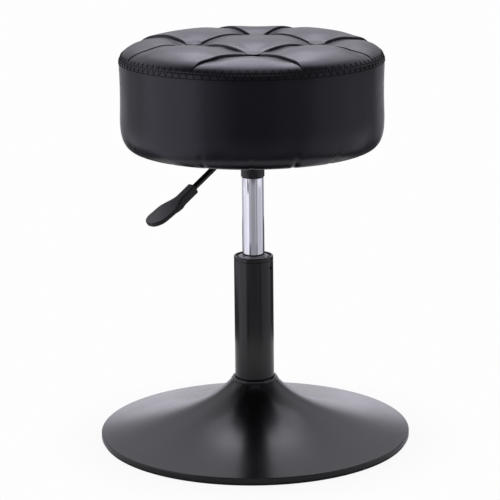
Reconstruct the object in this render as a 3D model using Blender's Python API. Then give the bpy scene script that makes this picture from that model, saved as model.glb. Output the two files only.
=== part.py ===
"""Swivel vanity stool on a gas lift, modelled piece by piece at its real size.

The stool stands on the floor at z = 0 with its column on the Z axis, and -Y is its front.
It is shown raised, with the lever at rest. All sizes are in metres and all angles in radians.
"""

import math

import bmesh
import bpy
from mathutils import Matrix, Vector

# Fits and facets
GAP = 0.0003
MERGE = 0.000001
CUT_THROUGH = 0.002
SEAT_STEPS = 6
BASE_SIDES = 48
ROUND_SIDES = 32
SMALL_SIDES = 12
SHARP_ANGLE = math.radians(35)
FRONT = math.radians(-90)

# Trumpet base: a spun shell on a rubber ring, closed below by a plate
BASE_RADIUS = 0.1984
RIM_HEIGHT = 0.0100
RIM_ROUND = 0.0014
BELL_RISE = 0.0346
BELL_POINTS = 9
NECK_RADIUS = 0.0300
SHELL_WALL = 0.0015
FLOOR_RING_WIDTH = 0.0140
FLOOR_RING_HEIGHT = 0.0032
BASE_PLATE_WALL = 0.0030
BASE_PLATE_EYE = 0.0190
HUB_WALL = 0.0030
HUB_NECK_DROP = 0.0035
TRIM_FLANGE = 0.0003
TRIM_FLANGE_HEIGHT = 0.0010
TRIM_BEAD = 0.0037
TRIM_HEIGHT = 0.0040
TRIM_ROUND = 0.0014

# Outer column with its guide
COLUMN_RADIUS = 0.0250
COLUMN_WALL = 0.0025
COLUMN_LENGTH = 0.2320
COLUMN_ROUND = 0.0012
COLUMN_FOOT = 0.0065
COLUMN_FLOOR_WALL = 0.0040
PUNCH_RADIUS = 0.0025
PUNCH_DROP = 0.0145
PUNCH_HEADING = math.radians(-30)
BUSH_LENGTH = 0.0680
BUSH_DROP = 0.0006
BUSH_LIP_RADIUS = 0.0192
BUSH_LIP_DEPTH = 0.0040
GUIDE_RING_WIDTH = 0.0013
GUIDE_RING_HEIGHT = 0.0020

# Gas lift: cylinder, rod, piston, thrust bearing and clip
CYLINDER_RADIUS = 0.0140
CYLINDER_WALL = 0.0015
CYLINDER_LENGTH = 0.2025
GLAND_HEIGHT = 0.0100
PISTON_HEIGHT = 0.0100
PISTON_ROD_RADIUS = 0.0050
ROD_NUT_WIDTH = 0.0150
ROD_NUT_HEIGHT = 0.0040
ROD_TIP = 0.0015
ROD_COLLAR_RADIUS = 0.0090
ROD_COLLAR_HEIGHT = 0.0030
RACE_RADIUS = 0.0125
RACE_HEIGHT = 0.0020
BALL_RADIUS = 0.0020
BALL_COUNT = 8
CAGE_WIDTH = 0.0030
CAGE_HEIGHT = 0.0018
STOP_RADIUS = 0.0110
STOP_HEIGHT = 0.0120
CLIP_WASHER_RADIUS = 0.0100
CLIP_WASHER_HEIGHT = 0.0012
CLIP_WIDTH = 0.0030
CLIP_HEIGHT = 0.0012
CLIP_GROOVE = 0.0010
CLIP_OPENING = math.radians(70)
ROD_FOOT = 0.0025
VALVE_LENGTH = 0.0200
PIN_RADIUS = 0.0030
PIN_LENGTH = 0.0230
PIN_DOME = 0.0012

# Socket and plate under the seat
SOCKET_RADIUS = 0.0150
SOCKET_LENGTH = 0.0343
SOCKET_ROUND = 0.0010
SOCKET_GRIP = 0.0165
NECK_STEP = 0.0008
TAPER = 0.0006
SEAT_PLATE_SIZE = 0.1100
SEAT_PLATE_CORNER = 0.0140
SEAT_PLATE_WALL = 0.0025

# Lever: a bent rod on a pivot, with a flat grip
LEVER_HEADING = math.radians(220)
LEVER_SLOPE = math.radians(32.3)
LEVER_ROD_RADIUS = 0.00375
LEVER_HANG = 0.0091
LEVER_TIP = 0.0015
LEVER_TRAVEL = math.radians(8)
LEVER_BEND_REACH = 0.0517
LEVER_BEND_RADIUS = 0.0120
LEVER_BEND_STEPS = 4
LEVER_SIDES = 12
PIVOT_REACH = 0.0260
PIVOT_PIN_RADIUS = 0.0025
PIVOT_HEAD = 0.0015
PIVOT_HEAD_HEIGHT = 0.0015
PIVOT_TAIL = 0.0035
BOSS_RADIUS = 0.0065
BOSS_WIDTH = 0.0100
EAR_WALL = 0.0030
EAR_HALF_WIDTH = 0.0085
EAR_ROUND_STEPS = 8
SLOT_CLEARANCE = 0.0010
GRIP_REACH = 0.0952
GRIP_LENGTH = 0.0780
GRIP_HOLE_DEPTH = 0.0200
GRIP_SOCKET_WIDTH = 0.0120
GRIP_SOCKET_HEIGHT = 0.0125
GRIP_BLADE_WIDTH = 0.0325
GRIP_BLADE_HEIGHT = 0.0060
GRIP_BLADE_LIFT = 0.0035
GRIP_NECK_START = 0.0220
GRIP_NECK_END = 0.0480
GRIP_EDGE_ROUND = 0.0022
GRIP_STATIONS = 16
GRIP_CORNER_STEPS = 2

# Seat: board, foam, cover, dust cover
SEAT_RADIUS = 0.1652
SEAT_BOTTOM = 0.3778
SEAT_CORNER_WIDTH = 0.0259
SEAT_CORNER_HEIGHT = 0.0404
SEAT_CORNER_POWER = 2.8
SEAT_CORNER_POINTS = 5
SEAT_SIDE_HEIGHT = 0.0686
SEAT_WAIST = 0.0008
CROWN_HEIGHT = 0.0351
CROWN_POWER = 2.54
CROWN_LEVEL = 0.0290
CROWN_EASE = 0.0012
SEAM_RISE = 0.0072
COVER_WALL = 0.0014
WRAP_WIDTH = 0.0180
BOARD_MARGIN = 0.0033
BOARD_WALL = 0.0120
DUST_COVER_WALL = 0.0008

# Tufts and folds of the seat's top panel
TUFT_COUNT = 4
TUFT_SHARE = 0.466
TUFT_DEPTH = 0.0105
TUFT_BUTTON_RADIUS = 0.0090
TUFT_BUTTON_HEIGHT = 0.0060
TUFT_BUTTON_EDGE = 0.0022
PIT_MARGIN = 0.0048
PIT_SLOPE = 0.0220
PIT_FAN_SLOPE = 0.0430
FOLD_SPREAD = math.radians(24)
FOLD_DEPTH = 0.0065
FOLD_FADE = 0.0600
LOBE_RISE = 0.0006
TIE_RADIUS = 0.0010
TIE_KNOT_RADIUS = 0.0032
TIE_KNOT_HEIGHT = 0.0018

# Seat fasteners
BOLT_SPACING = 0.0800
BOLT_RADIUS = 0.0030
BOLT_HEAD_WIDTH = 0.0100
BOLT_HEAD_HEIGHT = 0.0040
WASHER_RADIUS = 0.0070
WASHER_HEIGHT = 0.0012
TEE_NUT_RADIUS = 0.0042
TEE_FLANGE_RADIUS = 0.0095
TEE_FLANGE_HEIGHT = 0.0014
TEE_NUT_DEPTH = 0.0090

# Levels and radii that follow from the sizes above
BASE_PLATE_BOTTOM = FLOOR_RING_HEIGHT + GAP
BASE_PLATE_TOP = BASE_PLATE_BOTTOM + BASE_PLATE_WALL
LIP_RADIUS = BASE_RADIUS - SHELL_WALL
FLOOR_RING_RADIUS = LIP_RADIUS - GAP
TRIM_BEAD_RADIUS = COLUMN_RADIUS + TRIM_BEAD
COLUMN_BOTTOM = BASE_PLATE_TOP + GAP
COLUMN_TOP = COLUMN_BOTTOM + COLUMN_LENGTH
COLUMN_FLOOR = COLUMN_BOTTOM + COLUMN_FOOT
COLUMN_BORE = COLUMN_RADIUS - COLUMN_WALL
SEAT_FLAT_RADIUS = SEAT_RADIUS - SEAT_CORNER_WIDTH
BOARD_RADIUS = SEAT_FLAT_RADIUS - BOARD_MARGIN
WRAP_RADIUS = BOARD_RADIUS - WRAP_WIDTH
TUFT_CIRCLE = SEAT_RADIUS * TUFT_SHARE
BOARD_BOTTOM = SEAT_BOTTOM + COVER_WALL + GAP
BOARD_TOP = BOARD_BOTTOM + BOARD_WALL
DUST_COVER_TOP = BOARD_BOTTOM - GAP
SEAT_PLATE_TOP = DUST_COVER_TOP - DUST_COVER_WALL - GAP
SEAT_PLATE_BOTTOM = SEAT_PLATE_TOP - SEAT_PLATE_WALL
SOCKET_TOP = SEAT_PLATE_BOTTOM - GAP
SOCKET_BOTTOM = SOCKET_TOP - SOCKET_LENGTH
CYLINDER_BORE = CYLINDER_RADIUS - CYLINDER_WALL
CYLINDER_INSERT = CYLINDER_BORE - GAP
CYLINDER_TOP = SOCKET_BOTTOM + SOCKET_GRIP
CYLINDER_BOTTOM = CYLINDER_TOP - CYLINDER_LENGTH
CYLINDER_NECK = CYLINDER_RADIUS - NECK_STEP
CYLINDER_SHOULDER = SOCKET_BOTTOM - GAP
ROD_SLEEVE = PISTON_ROD_RADIUS + GAP
LEVER_ROD_HEIGHT = SEAT_PLATE_BOTTOM - LEVER_HANG
SEAT_CORNER_TOP = SEAT_BOTTOM + SEAT_CORNER_HEIGHT
CROWN_BASE = SEAT_CORNER_TOP + SEAT_SIDE_HEIGHT
SEAM_HEIGHT = CROWN_BASE + SEAM_RISE
PIT_RADIUS = TUFT_BUTTON_RADIUS + PIT_MARGIN
COVER_INSET = COVER_WALL + GAP
BOLT_HOLE = BOLT_RADIUS + GAP
TIE_HOLE = TIE_RADIUS + GAP
LEVER_DROP = LEVER_ROD_RADIUS + (PIVOT_REACH + LEVER_TIP) * math.sin(LEVER_TRAVEL)

for leftover in list(bpy.data.objects):
    bpy.data.objects.remove(leftover, do_unlink=True)


def make_material(name, colour, roughness, metallic=0.0):
    """A Principled finish for one kind of piece."""
    finish = bpy.data.materials.new(name)
    finish.use_nodes = True
    shader = finish.node_tree.nodes["Principled BSDF"]
    shader.inputs["Base Color"].default_value = (*colour, 1.0)
    shader.inputs["Roughness"].default_value = roughness
    shader.inputs["Metallic"].default_value = metallic
    return finish


SATIN_BLACK = make_material("satin_black_paint", (0.016, 0.016, 0.018), 0.38, 0.2)
GLOSS_BLACK = make_material("gloss_black_plastic", (0.010, 0.010, 0.011), 0.15)
MATTE_BLACK = make_material("matte_black_plastic", (0.024, 0.024, 0.026), 0.55)
BLACK_RUBBER = make_material("black_rubber", (0.012, 0.012, 0.012), 0.80)
BLACK_VINYL = make_material("black_vinyl", (0.018, 0.018, 0.021), 0.42)
DARK_FELT = make_material("dark_felt", (0.030, 0.030, 0.032), 0.95)
CHROME = make_material("chrome", (0.72, 0.73, 0.76), 0.10, 1.0)
BRIGHT_STEEL = make_material("bright_steel", (0.55, 0.55, 0.56), 0.35, 1.0)
GREY_NYLON = make_material("grey_nylon", (0.30, 0.30, 0.31), 0.50)
PALE_FOAM = make_material("pale_foam", (0.80, 0.74, 0.55), 0.95)
PLYWOOD = make_material("plywood", (0.55, 0.38, 0.21), 0.70)
TWINE = make_material("twine", (0.60, 0.57, 0.50), 0.90)


def make_frame(name, parent=None, location=(0, 0, 0), heading=0.0):
    """An empty that carries the pieces of one body or one mechanism."""
    frame = bpy.data.objects.new(name, None)
    bpy.context.collection.objects.link(frame)
    frame.parent = parent
    frame.location = location
    frame.rotation_euler = (0, 0, heading)
    return frame


def make_piece(name, bm, finish, parent, flat=False):
    """Turns a bmesh into a named object with its faces outwards, smooth but for its sharp edges."""
    bmesh.ops.recalc_face_normals(bm, faces=bm.faces)
    mesh = bpy.data.meshes.new(name)
    bm.to_mesh(mesh)
    bm.free()
    if not flat:
        mesh.shade_smooth()
        mesh.set_sharp_from_angle(angle=SHARP_ANGLE)
    piece = bpy.data.objects.new(name, mesh)
    bpy.context.collection.objects.link(piece)
    piece.parent = parent
    if finish:
        mesh.materials.append(finish)
    return piece


def circle(radius, height, sides, heading=0.0, centre=(0, 0)):
    """Points round an upright axis."""
    turns = [heading + 2 * math.pi * i / sides for i in range(sides)]
    return [
        Vector((centre[0] + radius * math.cos(t), centre[1] + radius * math.sin(t), height))
        for t in turns
    ]


def hexagon(width, height, sides):
    """Points on a hexagon across flats, as many as a circle of the same number of sides has."""
    points = []
    for i in range(sides):
        turn = 2 * math.pi * i / sides
        from_flat = turn % (math.pi / 3) - math.pi / 6
        reach = width / 2 / math.cos(from_flat)
        points.append(Vector((reach * math.cos(turn), reach * math.sin(turn), height)))
    return points


def loft(rings, looped=False):
    """A bmesh skinned over rings of equally many points, capped unless the rings close on themselves."""
    bm = bmesh.new()
    rows = [[bm.verts.new(point) for point in ring] for ring in rings]
    pairs = list(zip(rows, rows[1:]))
    if looped:
        pairs.append((rows[-1], rows[0]))
    for low, high in pairs:
        for i in range(len(low)):
            j = (i + 1) % len(low)
            bm.faces.new((low[i], low[j], high[j], high[i]))
    if not looped:
        bm.faces.new(reversed(rows[0]))
        bm.faces.new(rows[-1])
    return bm


def turned(profile, sides):
    """A bmesh of a profile of (radius, height) points spun round Z.

    A profile with both ends on the axis makes a full body, and any other one makes a ring.
    """
    bm = bmesh.new()
    points = [bm.verts.new((radius, 0, height)) for radius, height in profile]
    edges = [bm.edges.new(pair) for pair in zip(points, points[1:])]
    if profile[0][0] or profile[-1][0]:
        edges.append(bm.edges.new((points[-1], points[0])))
    bmesh.ops.spin(
        bm,
        geom=points + edges,
        cent=(0, 0, 0),
        axis=(0, 0, 1),
        angle=2 * math.pi,
        steps=sides,
        use_merge=True,
    )
    bmesh.ops.remove_doubles(bm, verts=bm.verts, dist=MERGE)
    return bm


def sleeve(inner, outer, bottom, top):
    """The profile of a plain ring."""
    return [(outer, top), (outer, bottom), (inner, bottom), (inner, top)]


def arc(centre, radius, start, end, steps):
    """Points of a round stretch in a profile, both ends included."""
    turns = [start + (end - start) * i / steps for i in range(steps + 1)]
    return [(centre[0] + radius * math.cos(t), centre[1] + radius * math.sin(t)) for t in turns]


def inset_profile(points, depth):
    """The same open profile moved to its right-hand side by a depth, with mitred corners."""
    moved = []
    for i, point in enumerate(points):
        here = Vector(point)
        before = Vector(points[i - 1]) if i else None
        after = Vector(points[i + 1]) if i + 1 < len(points) else None
        sides = []
        for start, end in ((before, here), (here, after)):
            if start is not None and end is not None:
                way = (end - start).normalized()
                sides.append(Vector((way.y, -way.x)))
        normal = sum(sides, Vector((0, 0))).normalized()
        moved.append(tuple(here + normal * depth / normal.dot(sides[0])))
    return moved


def hide_helper(helper):
    """Keeps a cutter or a joined-on shape out of the assembly."""
    helper.hide_render = True
    helper.display_type = "WIRE"


def combine(piece, helper, operation="DIFFERENCE"):
    """Cuts a helper out of a piece, or joins it on."""
    hide_helper(helper)
    step = piece.modifiers.new(helper.name, "BOOLEAN")
    step.operation = operation
    step.solver = "EXACT"
    step.object = helper


def posts(name, places, radius, bottom, top, parent, sides=SMALL_SIDES):
    """One helper of upright round posts, for drilling a pattern of holes."""
    bm = bmesh.new()
    for place in places:
        low = [bm.verts.new(p) for p in circle(radius, bottom, sides, centre=place)]
        high = [bm.verts.new(p) for p in circle(radius, top, sides, centre=place)]
        for i in range(sides):
            j = (i + 1) % sides
            bm.faces.new((low[i], low[j], high[j], high[i]))
        bm.faces.new(reversed(low))
        bm.faces.new(high)
    return make_piece(name, bm, None, parent, flat=True)


def open_ring(inner, outer, bottom, top, opening):
    """A bmesh of a clip: a flat ring with a gap in it."""
    rings = []
    for i in range(SMALL_SIDES + 1):
        turn = opening / 2 + (2 * math.pi - opening) * i / SMALL_SIDES
        way = Vector((math.cos(turn), math.sin(turn), 0))
        corners = ((inner, bottom), (outer, bottom), (outer, top), (inner, top))
        rings.append([way * radius + Vector((0, 0, height)) for radius, height in corners])
    return loft(rings)


def smooth_share(value):
    """0 below 0, 1 above 1, and an eased step between."""
    share = min(max(value, 0.0), 1.0)
    return share * share * (3 - 2 * share)


base_frame = make_frame("base_frame")
swivel_axis = make_frame("swivel_axis", base_frame)
lift_axis = make_frame("lift_axis", swivel_axis)
plate_frame = make_frame("plate_frame", lift_axis, heading=LEVER_HEADING)
pivot_place = (PIVOT_REACH, 0, LEVER_ROD_HEIGHT)
lever_pivot = make_frame("lever_pivot", plate_frame, location=pivot_place)
pin_axis = make_frame("pin_axis", lift_axis)


# Base

def bell_height(radius):
    """The trumpet's outer height at a radius: steep at the neck and easing out to the rim."""
    return RIM_HEIGHT + BELL_RISE * math.log((BASE_RADIUS - RIM_ROUND) / radius)


def bell_profile():
    """The shell's outer outline from the neck down to the lower edge of its rim."""
    ratio = (BASE_RADIUS - RIM_ROUND) / NECK_RADIUS
    radii = [NECK_RADIUS * ratio ** (i / BELL_POINTS) for i in range(BELL_POINTS)]
    bell = [(radius, bell_height(radius)) for radius in radii]
    rim_centre = (BASE_RADIUS - RIM_ROUND, RIM_HEIGHT - RIM_ROUND)
    rim = arc(rim_centre, RIM_ROUND, math.radians(80), 0, 2)
    return bell + rim + [(BASE_RADIUS, BASE_PLATE_BOTTOM)]


NECK_HEIGHT = bell_height(NECK_RADIUS)


def make_base():
    """Shell, floor ring, bottom plate, hub and trim ring."""
    outer = bell_profile()
    inner = inset_profile(outer, SHELL_WALL)
    shell = turned(outer + inner[::-1], BASE_SIDES)
    make_piece("base_shell", shell, SATIN_BLACK, base_frame)

    ring_inner = FLOOR_RING_RADIUS - FLOOR_RING_WIDTH
    ring = sleeve(ring_inner, FLOOR_RING_RADIUS, 0, FLOOR_RING_HEIGHT)
    make_piece("floor_ring", turned(ring, BASE_SIDES), BLACK_RUBBER, base_frame)

    plate = sleeve(BASE_PLATE_EYE, FLOOR_RING_RADIUS, BASE_PLATE_BOTTOM, BASE_PLATE_TOP)
    make_piece("bottom_plate", turned(plate, BASE_SIDES), SATIN_BLACK, base_frame)

    hub_bore = COLUMN_RADIUS + GAP
    hub_top = NECK_HEIGHT - HUB_NECK_DROP
    hub = sleeve(hub_bore, hub_bore + HUB_WALL, BASE_PLATE_TOP + GAP, hub_top)
    make_piece("base_hub", turned(hub, ROUND_SIDES), SATIN_BLACK, base_frame)

    bottom = NECK_HEIGHT + GAP
    step = bottom + TRIM_FLANGE_HEIGHT
    top = bottom + TRIM_HEIGHT
    flange = NECK_RADIUS + TRIM_FLANGE
    bead_centre = (TRIM_BEAD_RADIUS - TRIM_ROUND, top - TRIM_ROUND)
    bead = arc(bead_centre, TRIM_ROUND, math.radians(90), 0, 3)
    trim = [(hub_bore, top)] + bead + [(TRIM_BEAD_RADIUS, step), (flange, step), (flange, bottom)]
    trim += [(hub_bore, bottom)]
    make_piece("trim_ring", turned(trim, ROUND_SIDES), GLOSS_BLACK, base_frame)


# Column

def make_column():
    """Outer tube with its floor, guide bush and guide ring."""
    floor_top = COLUMN_FLOOR + COLUMN_FLOOR_WALL
    round_centre = (COLUMN_RADIUS - COLUMN_ROUND, COLUMN_TOP - COLUMN_ROUND)
    tube = [(COLUMN_BORE, COLUMN_TOP)]
    tube += arc(round_centre, COLUMN_ROUND, math.radians(90), 0, 2)
    tube += [
        (COLUMN_RADIUS, COLUMN_BOTTOM),
        (COLUMN_BORE, COLUMN_BOTTOM),
        (COLUMN_BORE, COLUMN_FLOOR),
        (ROD_SLEEVE, COLUMN_FLOOR),
        (ROD_SLEEVE, floor_top),
        (COLUMN_BORE, floor_top),
    ]
    column = make_piece("outer_column", turned(tube, ROUND_SIDES), SATIN_BLACK, base_frame)
    reach = COLUMN_RADIUS + CUT_THROUGH
    punch_rings = [
        [Matrix.Rotation(math.radians(90), 3, "Y") @ p for p in circle(PUNCH_RADIUS, x, SMALL_SIDES)]
        for x in (-reach, reach)
    ]
    punch = make_piece("punched_holes", loft(punch_rings), None, base_frame, flat=True)
    punch.location = (0, 0, COLUMN_TOP - PUNCH_DROP)
    punch.rotation_euler = (0, 0, PUNCH_HEADING)
    combine(column, punch)

    bush_top = COLUMN_TOP - BUSH_DROP
    bush_outer = COLUMN_BORE - GAP
    bush_inner = CYLINDER_RADIUS + GAP
    lip = bush_top - BUSH_LIP_DEPTH
    bush = [
        (BUSH_LIP_RADIUS, bush_top),
        (BUSH_LIP_RADIUS, lip),
        (bush_outer, lip),
        (bush_outer, bush_top - BUSH_LENGTH),
        (bush_inner, bush_top - BUSH_LENGTH),
        (bush_inner, bush_top),
    ]
    make_piece("guide_bush", turned(bush, ROUND_SIDES), GREY_NYLON, base_frame)

    ring_bottom = lip + GAP
    ring = sleeve(bush_outer - GUIDE_RING_WIDTH, bush_outer, ring_bottom, ring_bottom + GUIDE_RING_HEIGHT)
    make_piece("guide_ring", turned(ring, ROUND_SIDES), BRIGHT_STEEL, base_frame)


# Piston rod and what turns with it

def make_swivel():
    """Thrust bearing, piston rod with its piston, stop cushion, washer and clip."""
    washer_top = COLUMN_FLOOR - GAP
    washer_bottom = washer_top - CLIP_WASHER_HEIGHT
    washer = sleeve(ROD_SLEEVE, CLIP_WASHER_RADIUS, washer_bottom, washer_top)
    make_piece("clip_washer", turned(washer, SMALL_SIDES), BRIGHT_STEEL, swivel_axis)

    clip_top = washer_bottom - GAP
    clip_bottom = clip_top - CLIP_HEIGHT
    groove = PISTON_ROD_RADIUS - CLIP_GROOVE
    clip = open_ring(groove + GAP, groove + CLIP_WIDTH, clip_bottom, clip_top, CLIP_OPENING)
    make_piece("retaining_clip", clip, BRIGHT_STEEL, swivel_axis)

    race_bottom = COLUMN_FLOOR + COLUMN_FLOOR_WALL + GAP
    race_top = race_bottom + RACE_HEIGHT
    lower = sleeve(ROD_SLEEVE, RACE_RADIUS, race_bottom, race_top)
    make_piece("lower_race", turned(lower, SMALL_SIDES), BRIGHT_STEEL, base_frame)

    ball_height = race_top + GAP + BALL_RADIUS
    ball_circle = (ROD_SLEEVE + RACE_RADIUS) / 2
    cage = sleeve(
        ball_circle - CAGE_WIDTH / 2,
        ball_circle + CAGE_WIDTH / 2,
        ball_height - CAGE_HEIGHT / 2,
        ball_height + CAGE_HEIGHT / 2,
    )
    cage_ring = make_piece("thrust_cage", turned(cage, SMALL_SIDES), BRIGHT_STEEL, swivel_axis)
    balls = bmesh.new()
    for place in circle(ball_circle, ball_height, BALL_COUNT):
        spot = Matrix.Translation(place)
        bmesh.ops.create_icosphere(balls, subdivisions=1, radius=BALL_RADIUS, matrix=spot)
    ball_set = make_piece("thrust_balls", balls, None, swivel_axis, flat=True)
    combine(cage_ring, ball_set, "UNION")

    upper_bottom = ball_height + BALL_RADIUS + GAP
    upper_top = upper_bottom + RACE_HEIGHT
    upper = sleeve(ROD_SLEEVE, RACE_RADIUS, upper_bottom, upper_top)
    make_piece("upper_race", turned(upper, SMALL_SIDES), BRIGHT_STEEL, swivel_axis)

    collar_bottom = upper_top + GAP
    collar_top = collar_bottom + ROD_COLLAR_HEIGHT
    stop_bottom = collar_top + GAP
    stop = sleeve(ROD_SLEEVE, STOP_RADIUS, stop_bottom, stop_bottom + STOP_HEIGHT)
    make_piece("stop_cushion", turned(stop, SMALL_SIDES), BLACK_RUBBER, swivel_axis)

    piston_bottom = CYLINDER_BOTTOM + GLAND_HEIGHT + GAP
    piston_top = piston_bottom + PISTON_HEIGHT
    piston = sleeve(ROD_SLEEVE, CYLINDER_INSERT, piston_bottom, piston_top)
    make_piece("piston", turned(piston, ROUND_SIDES), BRIGHT_STEEL, swivel_axis)

    nut_bottom = piston_top + GAP
    nut_top = nut_bottom + ROD_NUT_HEIGHT
    nut = loft(
        [
            hexagon(ROD_NUT_WIDTH, nut_bottom, LEVER_SIDES),
            hexagon(ROD_NUT_WIDTH, nut_top, LEVER_SIDES),
            circle(ROD_SLEEVE, nut_top, LEVER_SIDES),
            circle(ROD_SLEEVE, nut_bottom, LEVER_SIDES),
        ],
        looped=True,
    )
    make_piece("piston_nut", nut, BRIGHT_STEEL, swivel_axis)

    rod = [
        (0, nut_top + ROD_TIP),
        (PISTON_ROD_RADIUS, nut_top + ROD_TIP),
        (PISTON_ROD_RADIUS, collar_top),
        (ROD_COLLAR_RADIUS, collar_top),
        (ROD_COLLAR_RADIUS, collar_bottom),
        (PISTON_ROD_RADIUS, collar_bottom),
        (PISTON_ROD_RADIUS, clip_top + GAP),
        (groove, clip_top + GAP),
        (groove, clip_bottom - GAP),
        (PISTON_ROD_RADIUS, clip_bottom - GAP),
        (PISTON_ROD_RADIUS, clip_bottom - ROD_FOOT),
        (0, clip_bottom - ROD_FOOT),
    ]
    make_piece("piston_rod", turned(rod, SMALL_SIDES), BRIGHT_STEEL, swivel_axis)


# Gas cylinder, socket and valve

def make_cylinder():
    """Chrome cylinder, gland, valve body, release pin and the socket that grips the cylinder."""
    tube = [
        (CYLINDER_NECK - TAPER, CYLINDER_TOP),
        (CYLINDER_NECK, CYLINDER_SHOULDER),
        (CYLINDER_RADIUS, CYLINDER_SHOULDER - NECK_STEP),
        (CYLINDER_RADIUS, CYLINDER_BOTTOM),
        (CYLINDER_BORE, CYLINDER_BOTTOM),
        (CYLINDER_BORE, CYLINDER_SHOULDER - CYLINDER_WALL),
        (CYLINDER_BORE - NECK_STEP, CYLINDER_SHOULDER),
        (CYLINDER_BORE - NECK_STEP, CYLINDER_TOP),
    ]
    make_piece("gas_cylinder", turned(tube, ROUND_SIDES), CHROME, lift_axis)

    gland = sleeve(ROD_SLEEVE, CYLINDER_INSERT, CYLINDER_BOTTOM, CYLINDER_BOTTOM + GLAND_HEIGHT)
    make_piece("cylinder_gland", turned(gland, ROUND_SIDES), MATTE_BLACK, lift_axis)

    valve_radius = CYLINDER_INSERT - NECK_STEP
    pin_sleeve = PIN_RADIUS + GAP
    valve = sleeve(pin_sleeve, valve_radius, CYLINDER_TOP - VALVE_LENGTH, CYLINDER_TOP)
    make_piece("valve_body", turned(valve, ROUND_SIDES), BRIGHT_STEEL, lift_axis)

    pin_top = LEVER_ROD_HEIGHT - LEVER_ROD_RADIUS - GAP
    pin = [
        (0, pin_top),
        (PIN_RADIUS - PIN_DOME, pin_top),
        (PIN_RADIUS, pin_top - PIN_DOME),
        (PIN_RADIUS, pin_top - PIN_LENGTH),
        (0, pin_top - PIN_LENGTH),
    ]
    make_piece("release_pin", turned(pin, SMALL_SIDES), BRIGHT_STEEL, pin_axis)

    bore_bottom = CYLINDER_NECK + GAP
    bore_top = CYLINDER_NECK - TAPER + GAP
    round_centre = (SOCKET_RADIUS - SOCKET_ROUND, SOCKET_BOTTOM + SOCKET_ROUND)
    socket = [(bore_top, SOCKET_TOP), (SOCKET_RADIUS, SOCKET_TOP)]
    socket += arc(round_centre, SOCKET_ROUND, 0, math.radians(-90), 2)
    socket += [(bore_bottom, SOCKET_BOTTOM), (bore_top, CYLINDER_TOP)]
    collar = make_piece("taper_socket", turned(socket, ROUND_SIDES), SATIN_BLACK, lift_axis)
    slot_half = LEVER_ROD_RADIUS + SLOT_CLEARANCE
    slot_bottom = LEVER_ROD_HEIGHT - LEVER_DROP - SLOT_CLEARANCE
    slot_outline = [(PIN_RADIUS, -slot_half), (SOCKET_RADIUS + CUT_THROUGH, -slot_half)]
    slot_outline += [(SOCKET_RADIUS + CUT_THROUGH, slot_half), (PIN_RADIUS, slot_half)]
    slot_rings = [
        [Vector((x, y, height)) for x, y in slot_outline]
        for height in (slot_bottom, SOCKET_TOP + CUT_THROUGH)
    ]
    combine(collar, make_piece("lever_slot", loft(slot_rings), None, plate_frame, flat=True))


# Seat plate, its bolts and the lever

def bolt_places():
    """Bolt centres in the plate's own frame."""
    half = BOLT_SPACING / 2
    return [(x, y) for x in (-half, half) for y in (-half, half)]


def make_seat_plate():
    """The plate under the seat, with its bolts, washers and tee nuts."""
    half = SEAT_PLATE_SIZE / 2
    outline = []
    for quarter in range(4):
        turn = quarter * math.pi / 2
        corner = Matrix.Rotation(turn, 2) @ Vector((half - SEAT_PLATE_CORNER, half - SEAT_PLATE_CORNER))
        outline += arc(tuple(corner), SEAT_PLATE_CORNER, turn, turn + math.pi / 2, 3)
    levels = (SEAT_PLATE_BOTTOM, SEAT_PLATE_TOP)
    plate_rings = [[Vector((x, y, height)) for x, y in outline] for height in levels]
    plate = make_piece("seat_plate", loft(plate_rings), SATIN_BLACK, plate_frame)
    low = SEAT_PLATE_BOTTOM - CUT_THROUGH
    high = SEAT_PLATE_TOP + CUT_THROUGH
    combine(plate, posts("plate_holes", bolt_places(), BOLT_HOLE, low, high, plate_frame))

    washer_top = SEAT_PLATE_BOTTOM - GAP
    washer_bottom = washer_top - WASHER_HEIGHT
    head_top = washer_bottom - GAP
    head_bottom = head_top - BOLT_HEAD_HEIGHT
    nut_bottom = BOARD_TOP - TEE_NUT_DEPTH
    flange_bottom = BOARD_TOP - TEE_FLANGE_HEIGHT
    for index, place in enumerate(bolt_places()):
        bolt = loft(
            [
                hexagon(BOLT_HEAD_WIDTH, head_bottom, LEVER_SIDES),
                hexagon(BOLT_HEAD_WIDTH, head_top, LEVER_SIDES),
                circle(BOLT_RADIUS, head_top, LEVER_SIDES),
                circle(BOLT_RADIUS, flange_bottom, LEVER_SIDES),
            ]
        )
        washer = turned(sleeve(BOLT_HOLE, WASHER_RADIUS, washer_bottom, washer_top), SMALL_SIDES)
        tee = [
            (TEE_FLANGE_RADIUS, BOARD_TOP),
            (TEE_FLANGE_RADIUS, flange_bottom),
            (TEE_NUT_RADIUS, flange_bottom),
            (TEE_NUT_RADIUS, nut_bottom),
            (BOLT_HOLE, nut_bottom),
            (BOLT_HOLE, BOARD_TOP),
        ]
        named = (
            ("seat_bolt", bolt, BRIGHT_STEEL),
            ("bolt_washer", washer, BRIGHT_STEEL),
            ("tee_nut", turned(tee, SMALL_SIDES), BRIGHT_STEEL),
        )
        for name, shape, finish in named:
            piece = make_piece(f"{name}_{index + 1}", shape, finish, plate_frame)
            piece.location = (*place, 0)


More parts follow.
